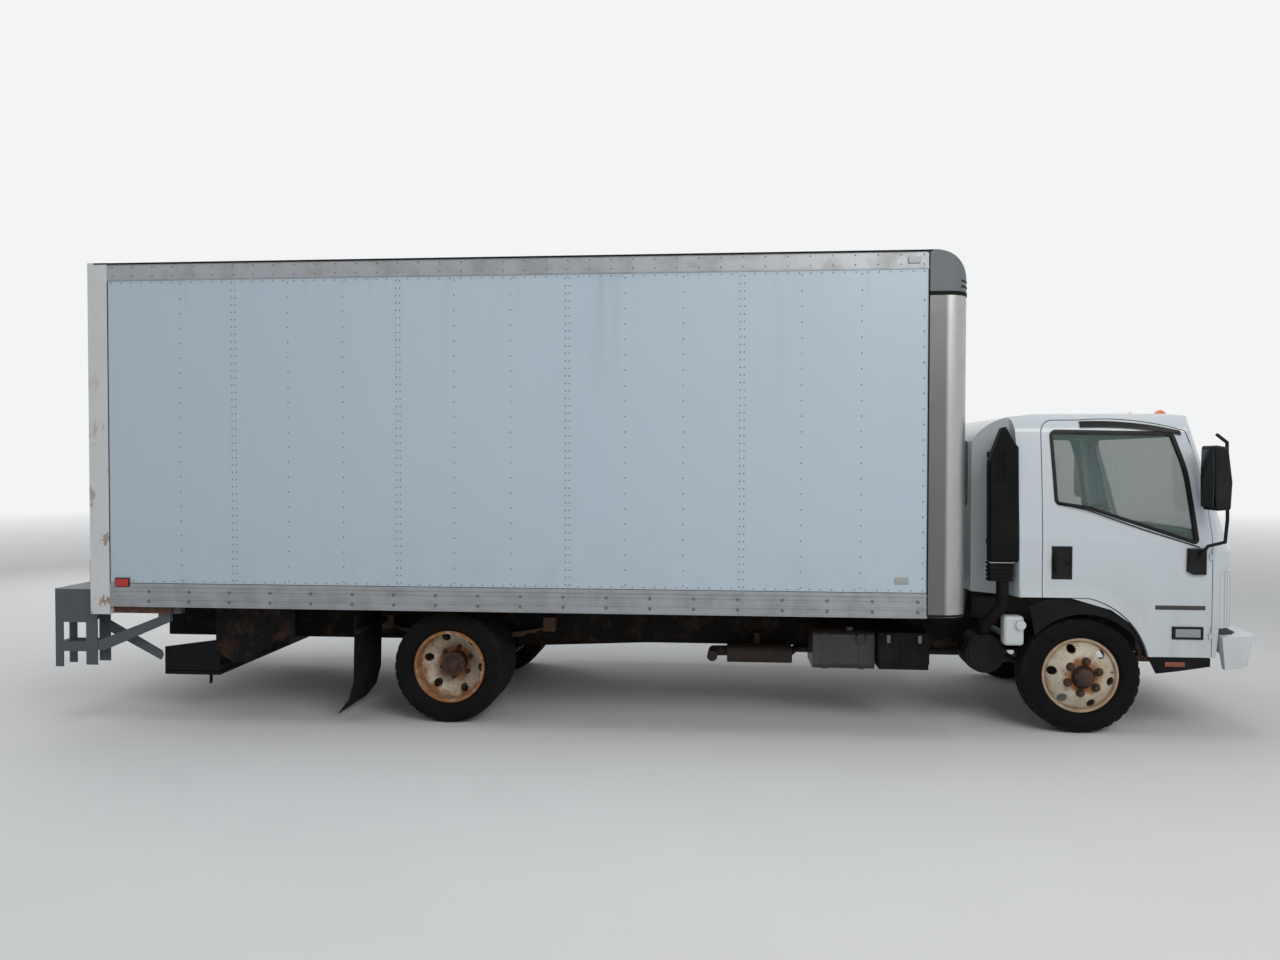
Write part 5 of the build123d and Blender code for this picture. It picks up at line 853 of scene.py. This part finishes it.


# Pressed lines of the rails, and the edge of the roof sheet over them, drawn near-black as a painted shadow
# line
LINE_BACK_X = PANEL_BACK_X + 0.01
shape = Shape()
for low_z, high_z in ((0.8485, 0.8555), (0.9085, 0.9155), (0.9825, 0.9895), (3.200, 3.209)):
    side_strip(shape, LINE_BACK_X, PANEL_FRONT_X, low_z, high_z, 0.002)
shape.mirrored().piece("rail_ribs", rail_metal, "chassis", "bare_aluminium")
# The roof edge strip is near-black: a painted shadow under the edge of the pale roof sheet
shape = Shape()
side_strip(shape, PANEL_BACK_X - 0.10, PANEL_FRONT_X + 0.02, 3.313, 3.324, 0.002, 0.004, 0.002, 2)
shape.mirrored().piece("roof_edge", sealant_and_shadow_black, "chassis", "black_plastic")

# Dark beads of sealant beside the front wraps and the rear posts, and along the foot of the sheets
shape = Shape()
side_strip(shape, PANEL_FRONT_X - 0.004, PANEL_FRONT_X + 0.005, 0.85, 3.315, 0.0015, 0.003)
side_strip(shape, PANEL_BACK_X - 0.002, PANEL_BACK_X + 0.005, 1.01, 3.19, -0.001, 0.0045)
side_strip(shape, PANEL_BACK_X, PANEL_FRONT_X, PANEL_LOW_Z - 0.002, PANEL_LOW_Z + 0.004, -0.003, 0.007)
shape.mirrored().piece("body_sealant", sealant_and_shadow_black, "chassis", "black_plastic")

# Gaskets and rivets round the front of the body, over its two round corners
CAP_CORNER = 0.150
FRONT_X = corners_of("front_wall")[1].x
CAP_SEAM_Z = corners_of("front_cap")[0].z


def corner_line(radius, angles):
    """Places in plan round the right front corner, from the side face to the front."""
    turns = [math.radians(a) for a in angles]
    return [(FRONT_X - CAP_CORNER + radius * math.sin(a), -BODY_Y + CAP_CORNER - radius * math.cos(a))
            for a in turns]


def wrap_band(name, low_z, high_z, proud):
    """Band round the front, from one side to the other; its back is left open."""
    corner = corner_line(CAP_CORNER, [90 * k / 8 for k in range(9)])
    line = [Vector(p) for p in [(PANEL_FRONT_X + 0.004, -BODY_Y)] + corner]
    line = line + [Vector((p.x, -p.y)) for p in reversed(line)]
    last = len(line) - 1
    ways = [(line[min(k + 1, last)] - line[max(k - 1, 0)]).normalized() for k in range(last + 1)]
    shape = Shape()
    inner_low, inner_high, outer_low, outer_high = (
        shape.ring((p.x + way.y * offset, p.y - way.x * offset, z) for p, way in zip(line, ways))
        for offset, z in product((-0.001, proud), (low_z, high_z)))
    for rows in ((outer_low, outer_high), (outer_high, inner_high), (outer_low, inner_low)):
        for k in range(last):
            shape.bm.faces.new((rows[0][k], rows[0][k + 1], rows[1][k + 1], rows[1][k]))
    for k in (0, last):
        shape.bm.faces.new((outer_low[k], outer_high[k], inner_high[k], inner_low[k]))
    shape.piece(name, sealant_and_shadow_black, "chassis", "black_plastic")


wrap_band("cap_gasket", CAP_SEAM_Z - 0.016, CAP_SEAM_Z + 0.010, 0.004)
wrap_band("wrap_foot_gasket", 0.848, 0.862, 0.003)

shape = Shape()
shape.rivets([PANEL_FRONT_X - 0.030], [-BODY_Y - 0.0002], spaced(0.90, CAP_SEAM_Z - 0.05, 0.105), RIGHTWARD,
             0.0050, 0.0024)
shape.rivets(spaced(PANEL_FRONT_X + 0.02, PANEL_FRONT_X + 0.115, 0.045), [-BODY_Y], [CAP_SEAM_Z + 0.03],
             RIGHTWARD, HEAD_R, 0.0024)
shape.mirrored()
shape.rivets([FRONT_X], spaced(-1.02, 1.02, 0.12), (CAP_SEAM_Z - 0.04, CAP_SEAM_Z + 0.035, 0.90), AHEAD,
             HEAD_R, 0.0024)
shape.rivets([FRONT_X], (-0.74, -0.37, 0.0, 0.37, 0.74), spaced(1.0, CAP_SEAM_Z - 0.12, 0.15), AHEAD,
             HEAD_R, 0.0024, 7)
shape.piece("wrap_rivets", bolt_metal, "chassis", "bare_aluminium", 30)

# Two slots of the vent in each corner of the cap
shape = Shape()
for z, radius in ((3.080, 0.009), (3.118, 0.008)):
    shape.tube([(x, y, z) for x, y in corner_line(CAP_CORNER - 0.004, range(38, 87, 6))], radius)
shape.mirrored().piece("cap_vents", black_trim, "chassis", "black_plastic")

# Blank pale plate low on the right side, and the frames of the rear side markers
PLATE_FACE_Y = -PANEL_Y - 0.0035
shape = Shape()
shape.box((1.770, PLATE_FACE_Y, 1.065), (1.865, -PANEL_Y + 0.0005, 1.115), 0.002)
shape.rivets((1.782, 1.853), [PLATE_FACE_Y], [1.09], RIGHTWARD, 0.003, 0.0015)
shape.piece("blank_plate", plate_grey, "chassis", "grey_plastic")
shape = Shape()
side_strip(shape, -3.7905, -3.6785, 0.981, 1.047, 0.005, 0.001, 0.003, 2)
shape.mirrored().piece("marker_frames", black_trim, "chassis", "black_plastic")

# Doors: what is fixed to each, outside and inside
DOOR_SKIN_Y = 1.0005


def out(side, step):
    """Place across the truck, by a step out from a door's skin."""
    return side * (DOOR_SKIN_Y + step)


for side, label in SIDES:
    door = f"door_{label}"
    shape = Shape()
    shape.box((3.696, out(side, 0.008), 0.702), (3.860, out(side, 0.0115), 0.757), 0.0015)
    for k in range(9):
        x = 3.700 + 0.0195 * k
        shape.tube([(x, out(side, 0.0117), 0.701), (x, out(side, 0.0117), 0.758)], 0.0022, 6)
    shape.piece(f"side_lamp_lens_{label}", clear_lens, door, "clear_lamp")

    shape = Shape()
    shape.box((3.565, out(side, 0), 0.888), (3.893, out(side, 0.003), 0.917), 0.002)
    shape.box((3.600, out(side, 0), 0.900), (3.858, out(side, 0.0037), 0.905), 0.0006, 1)
    shape.piece(f"blank_strip_{label}", strip_black, door, "black_plastic")

    # Pull handle, with its lock ahead of it
    shape = Shape()
    shape.tube([(2.900, out(side, 0.0035), 1.262), (2.888, out(side, 0.0205), 1.240),
                (2.888, out(side, 0.0235), 1.180), (2.900, out(side, 0.0055), 1.140)], 0.011, 12)
    shape.lathe([(0.016, 0.0), (0.016, 0.004), (0.012, 0.006), (0.004, 0.005)],
                facing((2.985, out(side, 0.005), 1.205), (0, side, 0)), 22)
    shape.piece(f"door_handle_{label}", black_trim, door, "black_plastic")

    shape = Shape()
    mirror_y = side * 1.150
    half_face = ((0.082, 1.60), (0.088, 1.78), (0.080, 1.985))
    outline = [(mirror_y + y, z) for y, z in half_face] + [(mirror_y - y, z) for y, z in reversed(half_face)]
    shape.slab(outline, "X", 3.8195, 3.8225, 0.0012)
    shape.piece(f"mirror_glass_{label}", mirror_face, door, "glass")

    shape = Shape()
    shape.tube([(2.915, out(side, 0.003), 1.612), (3.112, out(side, 0.004), 1.566),
                (3.480, out(side, 0.0035), 1.436), (3.850, out(side, 0.002), 1.318)], 0.0042)
    shape.piece(f"window_seal_{label}", seal_rubber, door, "flap_rubber")

    # Trim panel inside the door, with its armrest and pull
    shape = Shape()
    shape.slab([(2.835, 1.06), (3.32, 0.98), (3.60, 0.86), (3.90, 0.86), (3.905, 1.28), (3.12, 1.54),
                (2.87, 1.57), (2.835, 1.40)], "Y", side * 0.926, side * 0.950, 0.006)
    shape.box((3.02, side * 0.880, 1.205), (3.44, side * 0.930, 1.262), 0.014, 3)
    shape.tube([(3.50, side * 0.930, 1.23), (3.50, side * 0.905, 1.23), (3.47, side * 0.898, 1.16)], 0.008)
    shape.piece(f"door_trim_{label}", dash_grey, door, "grey_plastic")

# Grille slats
shape = Shape()
for k in range(5):
    z = 0.812 + 0.019 * k
    shape.slab([(4.1935, z), (4.2040, z + 0.004), (4.2040, z + 0.010), (4.1935, z + 0.013)], "Y", -0.56, 0.56)
shape.piece("grille_slats", black_trim, "cab", "black_plastic")

# Wipers, parked along the foot of the windscreen
shape = Shape()
for y in (-0.50, 0.06):
    shape.tube([(4.172, y, 1.352), (4.173, y + 0.10, 1.368), (4.166, y + 0.27, 1.392)], 0.0055)
    shape.tube([(4.160, y + 0.04, 1.398), (4.163, y + 0.27, 1.396), (4.158, y + 0.48, 1.400)], 0.0045, 6)
    shape.lathe([(0.017, 0.0), (0.016, 0.008), (0.009, 0.013)], facing((4.172, y, 1.350), (1, 0, 0.25)), 16)
shape.piece("wipers", black_trim, "cab", "black_plastic")

# Dash: two dials with plain marks, and the slats of four air vents
DIAL_WAY = (-1, 0, 0.35)
shape = Shape()
for y in (0.36, 0.55):
    turn = facing((3.846, y, 1.352), DIAL_WAY)
    shape.lathe([(0.062, 0.0), (0.062, 0.006), (0.056, 0.007), (0.055, 0.003)], turn, 36)
    for across, up in around(15, 0.045, -30)[:11]:
        shape.rivet(turn @ Vector((across, up, 0.003)), DIAL_WAY, 0.003, 0.002, 6)
for y, k in product((-0.62, -0.10, 0.10, 0.74), range(5)):
    z = 1.270 + 0.013 * k
    shape.box((3.832, y - 0.05, z), (3.846, y + 0.05, z + 0.005), 0.001, 1)
shape.piece("dash_dials", dial_face, "cab", "black_plastic")

# Pedals, and the gear lever with its knob and gaiter
shape = Shape()
for y in (0.34, 0.46, 0.58):
    shape.tube([(3.84, y, 1.14), (3.80, y, 1.03), (3.745, y, 0.955)], 0.008)
    shape.box((3.715, y - 0.03, 0.925), (3.750, y + 0.03, 0.985), 0.006)
shape.tube([(3.22, 0.06, 0.985), (3.25, 0.07, 1.20), (3.27, 0.08, 1.38)], 0.009, 10)
shape.lathe([(0.012, -0.03), (0.024, -0.015), (0.026, 0.008), (0.016, 0.026)],
            facing((3.272, 0.081, 1.392), (0, 0, 1)), 20)
shape.lathe([(0.070, 0.0), (0.062, 0.020), (0.036, 0.060), (0.016, 0.080)],
            facing((3.215, 0.058, 0.962), (0.05, 0, 1)))
shape.piece("pedals_and_lever", black_trim, "cab", "black_plastic")

# Bright clamp round the collar that the cab's intake comes down to: its two long and two short bars
CLAMP_LOW_Z, CLAMP_HIGH_Z = 1.1955, 1.2020
shape = Shape()
for near_x, far_x, near_y, far_y in ((2.458, 2.626, -1.0005, -0.9975), (2.458, 2.626, -0.9045, -0.9015),
                                     (2.456, 2.459, -1.0005, -0.9015), (2.624, 2.627, -1.0005, -0.9015)):
    shape.box((near_x, near_y, CLAMP_LOW_Z), (far_x, far_y, CLAMP_HIGH_Z), 0.0008, 1)
shape.piece("collar_clamp", rail_metal, "chassis", "bright_steel")

# Reflectors on the cab's skirt
for side, label in SIDES:
    shape = Shape()
    shape.box((3.637, side * 0.9865, 0.494), (3.769, side * 0.9925, 0.526), 0.003)
    shape.piece(f"skirt_reflector_{label}", dull_amber, "cab", "lamp_plastic")

# Tyres: grooved tread, notched shoulders and ringed sidewalls. Each row is a place on the half section:
# distance from the tyre's middle, radius, and one where the shoulder notches cut in
TYRE_STEPS = 132
NOTCH_EVERY = 4
NOTCH_DEPTH = 0.007
TYRE_LINE = [
    (0.0740, 0.2479, 0), (0.0740, 0.2615, 0), (0.0945, 0.2760, 0), (0.1042, 0.2840, 0), (0.1075, 0.2885, 0),
    (0.1080, 0.2950, 0), (0.1062, 0.2975, 0), (0.1095, 0.3100, 0), (0.1118, 0.3180, 0), (0.1106, 0.3200, 0),
    (0.1106, 0.3225, 0), (0.1124, 0.3245, 0), (0.1124, 0.3400, 0), (0.1104, 0.3425, 0), (0.1100, 0.3465, 0),
    (0.1112, 0.3490, 0), (0.1085, 0.3640, 0), (0.1060, 0.3730, 0), (0.1050, 0.3760, 1), (0.0970, 0.3930, 1),
    (0.0885, 0.4005, 1), (0.0700, 0.4037, 1), (0.0660, 0.4040, 0), (0.0630, 0.3950, 0), (0.0580, 0.3950, 0),
    (0.0550, 0.4045, 0), (0.0280, 0.4050, 0), (0.0250, 0.3955, 0), (0.0190, 0.3955, 0), (0.0160, 0.4050, 0),
]
TYRE_SECTION = TYRE_LINE + [(-y, radius, notch) for y, radius, notch in reversed(TYRE_LINE)]


def tyre_ring(k, axle_x, middle):
    """The section's places at one step round the tyre."""
    angle = 2 * math.pi * k / TYRE_STEPS
    cut = 0 if k % NOTCH_EVERY else NOTCH_DEPTH
    for y, radius, notch in TYRE_SECTION:
        reach = radius - cut * notch
        yield axle_x + reach * math.cos(angle), middle + y, WHEEL_Z + reach * math.sin(angle)


for place, (axle_x, level, middles) in WHEELS.items():
    node = f"tyre{plural(place)}_{place}"
    look = tyre_rubber(f"tyre rubber {place}", axle_x)
    dress(node, look)
    shape = Shape()
    for middle in middles:
        rings = [shape.ring(tyre_ring(k, axle_x, middle)) for k in range(TYRE_STEPS)]
        shape.bridge(rings + rings[:1])
    made = shape.piece(f"{node}_tread", look, f"wheel{plural(place)}_{place}", "tyre", 28)
    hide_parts(node)

# Wheel centres: in front a cap with its rivets, a valve and the nut caps, behind the flange bolts and a boss
NUT_CAP = [(0.030, 0.0), (0.030, 0.007), (0.0245, 0.011), (0.0225, 0.027), (0.018, 0.0345), (0.008, 0.036)]
for side, label in SIDES:
    outward = (0, side, 0)
    shape = Shape()
    shape.lathe([(0.060, 0.0), (0.060, 0.010), (0.054, 0.018), (0.034, 0.026), (0.010, 0.028)],
                facing((FRONT_AXLE_X, side * 0.9992, WHEEL_Z), outward), 32)
    for across, up in around(6, 0.0625, 12):
        shape.rivet((FRONT_AXLE_X + across, side * 0.9990, WHEEL_Z + up), outward, 0.003, 0.006)
    valve_z = WHEEL_Z + 0.03
    shape.tube([(FRONT_AXLE_X + 0.212, side * 0.915, valve_z),
                (FRONT_AXLE_X + 0.206, side * 0.945, valve_z)], 0.005)
    for across, up in around(6, 0.1111, 20):
        shape.lathe(NUT_CAP, facing((FRONT_AXLE_X + across, side * 0.9652, WHEEL_Z + up), outward), 20)
    shape.piece(f"front_hub_cap_{label}", hub_rust, f"wheel_front_{label}", "cast_steel")

    flange_y = side * 0.9431
    shape = Shape()
    for across, up in around(8, 0.068, 10):
        shape.bolt((REAR_AXLE_X + across, flange_y, WHEEL_Z + up), outward, 0.0095, 0.009)
    shape.lathe([(0.046, 0.0), (0.044, 0.010), (0.030, 0.017), (0.012, 0.019)],
                facing((REAR_AXLE_X, flange_y, WHEEL_Z), outward), 28)
    shape.piece(f"rear_flange_bolts_{label}", hub_rust, f"wheels_rear_{label}", "cast_steel")


# Seats: crowned pads with sewn channels and piping, on their bases
def pad(shape, low, high, face, crown, channels, lean=0.0):
    """Stuffed block: the face is the axis that bulges most; channels are the sewn lines across it."""
    low, high = Vector(low), Vector(high)
    middle, half = (low + high) / 2, (high - low) / 2
    u, v = (k for k in range(3) if k != face)
    round_from = 0.72
    made = bmesh.ops.create_cube(shape.bm, size=2)["verts"]
    edges = list({e for vert in made for e in vert.link_edges})
    bmesh.ops.subdivide_edges(shape.bm, edges=edges, cuts=15, use_grid_fill=True)
    for vert in shape.bm.verts:
        a, b, c = vert.co[u], vert.co[v], vert.co[face]
        rim = max(0.0, max(abs(a), abs(b)) - round_from) / (1 - round_from)
        round_off = 1 - 0.34 * rim ** 2 * abs(c)
        swell = 1 - 0.035 * c * c * (1 - min(abs(a), abs(b)) ** 2)
        dome = crown * (1 - a ** 4) * (1 - b ** 4) * c
        sewn = sum(math.exp(-((a - line) / 0.045) ** 2) for line in channels) if abs(c) > 0.98 else 0.0
        at = Vector((0, 0, 0))
        at[u] = a * swell * half[u]
        at[v] = b * swell * half[v]
        at[face] = c * half[face] * round_off + dome - math.copysign(0.011 * min(sewn, 1.0), c)
        vert.co = middle + at
        vert.co.x -= lean * (vert.co.z - low.z)


def piping(shape, low, high, at_z):
    """Piped seam round a cushion at one height, as a rounded rectangle."""
    low, high = Vector(low), Vector(high)
    middle, reach = (low + high) / 2, (high - low) / 2 * 0.985
    square = 0.22
    line = []
    for k in range(49):
        across, along = math.cos(2 * math.pi * k / 48), math.sin(2 * math.pi * k / 48)
        x = math.copysign(abs(across) ** square, across) * reach.x
        y = math.copysign(abs(along) ** square, along) * reach.y
        line.append((middle.x + x, middle.y + y, at_z))
    shape.tube(line, 0.0032, 6)


bases = Shape()
seams = Shape()
for label, near, far in (("driver", 0.235, 0.675), ("middle", -0.185, 0.185), ("right", -0.675, -0.235)):
    shape = Shape()
    low, high = (2.552, near, 1.158), (3.118, far, 1.268)
    pad(shape, low, high, 2, 0.020, [-0.42, 0.30])
    made = shape.piece(f"seat_cushion_{label}", seat_cloth, "cab", "seat_fabric", 60)
    piping(seams, low, high, 1.243)
    shape = Shape()
    pad(shape, (2.562, near + 0.008, 1.275), (2.630, far - 0.008, 1.790), 0, 0.012, [], 0.15)
    made = shape.piece(f"seat_back_{label}", seat_cloth, "cab", "seat_fabric", 60)
    bases.box((2.575, near + 0.03, 1.006), (3.05, far - 0.03, 1.132), 0.012, 3)
    bases.box((2.560, near + 0.012, 1.130), (3.090, far - 0.012, 1.160), 0.008)
    for y in (near + 0.07, far - 0.07):
        bases.tube([(2.60, y, 1.14), (2.560, y, 1.18), (2.555, y, 1.26), (2.560, y, 1.36)], 0.011, 10)
made = bases.piece("seat_bases", seat_frame, "cab", "black_plastic")
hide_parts("seats")
seams.piece("seat_piping", seat_frame, "cab", "black_plastic")

# Ribs of the tread on the rear step
TREAD_DEPTH = 0.36
step_low, step_high = corners_of("rear_step")
ribs_from, ribs_to = step_low.x + 0.030, min(step_low.x + TREAD_DEPTH, step_high.x) - 0.030
shape = Shape()
for k in range(13):
    x = ribs_from + (ribs_to - ribs_from) * k / 12
    shape.tube([(x, -1.12, 0.9560), (x, 1.12, 0.9560)], 0.0022, 6)
shape.piece("step_tread", tread_metal, "chassis", "grey_paint")

# Roll-up door: seams between its slats, hinges over them, and the plates and loop of its lock
DOOR_SLATS = 5
door_low, door_high = corners_of("roll_up_door")
back_x = door_low.x
shape = Shape()
seams = Shape()
for k in range(1, DOOR_SLATS):
    z = door_low.z + (door_high.z - door_low.z) / DOOR_SLATS * k
    seams.box((back_x - 0.0012, door_low.y + 0.01, z - 0.003),
              (back_x + 0.002, door_high.y - 0.01, z + 0.003), 0.0005, 1)
    for y in (-1.02, -0.36, 0.36, 1.02):
        shape.box((back_x - 0.0035, y - 0.035, z - 0.045), (back_x + 0.001, y + 0.035, z + 0.045), 0.0012, 1)
        shape.tube([(back_x - 0.005, y - 0.035, z), (back_x - 0.005, y + 0.035, z)], 0.005)
        shape.rivets([back_x - 0.0035], [y], (z - 0.03, z + 0.03), BEHIND, 0.006, 0.003)
lock_z = door_low.z + 0.085
for y in (-0.22, 0.22):
    shape.box((back_x - 0.004, y - 0.05, lock_z - 0.025), (back_x + 0.001, y + 0.05, lock_z + 0.025),
              0.0012, 1)
shape.tube([(back_x - 0.004, -0.06, lock_z), (back_x - 0.018, -0.05, lock_z), (back_x - 0.018, 0.05, lock_z),
            (back_x - 0.004, 0.06, lock_z)], 0.006, 10)
shape.piece("door_hardware", hinge_metal, "chassis", "bright_steel")
seams.piece("door_slat_seams", sealant_and_shadow_black, "chassis", "black_plastic")

# Frame rails: three rows of holes with some left out, and rivets along the webs
rail_y = corners_of("frame_rails")[1].y
HOLE_ROWS = ((0.552, 1), (0.586, 1), (0.622, 2))
shape = Shape()
heads = Shape()
for side, label in SIDES:
    for k, (z, skip) in product(range(12), HOLE_ROWS):
        if (k + skip) % 3:
            turn = facing((-0.294 + 0.061 * k, side * (rail_y + 0.0002), z), (0, side, 0))
            shape.lathe([(0.0088, 0.0), (0.0070, 0.0006)], turn, 14)
    heads.rivets([-3.55 + 0.245 * k for k in range(26)], [side * rail_y], (0.520, 0.676), (0, side, 0),
                 0.0085, 0.005)
shape.piece("rail_hole_rims", sealant_and_shadow_black, "chassis", "frame_paint")
heads.piece("rail_rivets", chassis_paint, "chassis", "frame_paint")

# Cap of the fuel tank, with three ribs across it
tank_low, tank_high = corners_of("fuel_tank")
cap_x, cap_z = tank_high.x - 0.10, tank_high.z - 0.075
shape = Shape()
shape.lathe([(0.040, 0.0), (0.040, 0.012), (0.034, 0.018), (0.012, 0.019)],
            facing((cap_x, tank_low.y + 0.001, cap_z), RIGHTWARD), 28)
for x in (cap_x - 0.024, cap_x, cap_x + 0.024):
    shape.tube([(x, tank_low.y - 0.018, cap_z - 0.023), (x, tank_low.y - 0.018, cap_z + 0.023)], 0.004, 6)
shape.piece("tank_cap", tank_paint, "chassis", "black_plastic")

# Clips of the battery cover
box_low, box_high = corners_of("battery_box")
shape = Shape()
for x in (box_low.x + 0.07, box_high.x - 0.07):
    shape.box((x - 0.012, box_low.y - 0.004, box_high.z - 0.075),
              (x + 0.012, box_low.y + 0.001, box_high.z - 0.020), 0.002)
    shape.rivet((x, box_low.y - 0.004, box_high.z - 0.035), RIGHTWARD, 0.007, 0.004)
shape.piece("battery_clips", bolt_metal, "chassis", "bright_steel")

# Short flat strap that hangs from the folded platform's foot
fold_low, fold_high = corners_of("lift_platform")
strap_top = fold_low.z + 0.004
STRAP_HALF = 0.0016
strap = [(-3.231, strap_top), (-3.2315, strap_top - 0.04), (-3.2335, strap_top - 0.075)]
shape = Shape()
for (x0, z0), (x1, z1) in zip(strap, strap[1:]):
    shape.slab([(x0 - STRAP_HALF, z0), (x0 + STRAP_HALF, z0), (x1 + STRAP_HALF, z1), (x1 - STRAP_HALF, z1)],
               "Y", -0.945, -0.905)
shape.piece("hanging_strap", flap_rubber, "lift_platform", "flap_rubber")

# Rusty sills under the rear corners of the body
shape = Shape()
shape.box((-3.955, -1.170, 0.782), (-3.395, -1.105, 0.836))
shape.mirrored().piece("rear_sills", sill_rust, "chassis", "frame_paint")

# Rivets under the folded platform
shape = Shape()
rivet_places = [fold_low.y + 0.06 + (fold_high.y - fold_low.y - 0.12) * k / 8 for k in range(9)]
shape.rivets([fold_low.x + 0.02], rivet_places, [fold_low.z - 0.0002], (0, 0, -1), 0.008, 0.002)
shape.piece("platform_rivets", bolt_metal, "lift_platform", "bright_steel")
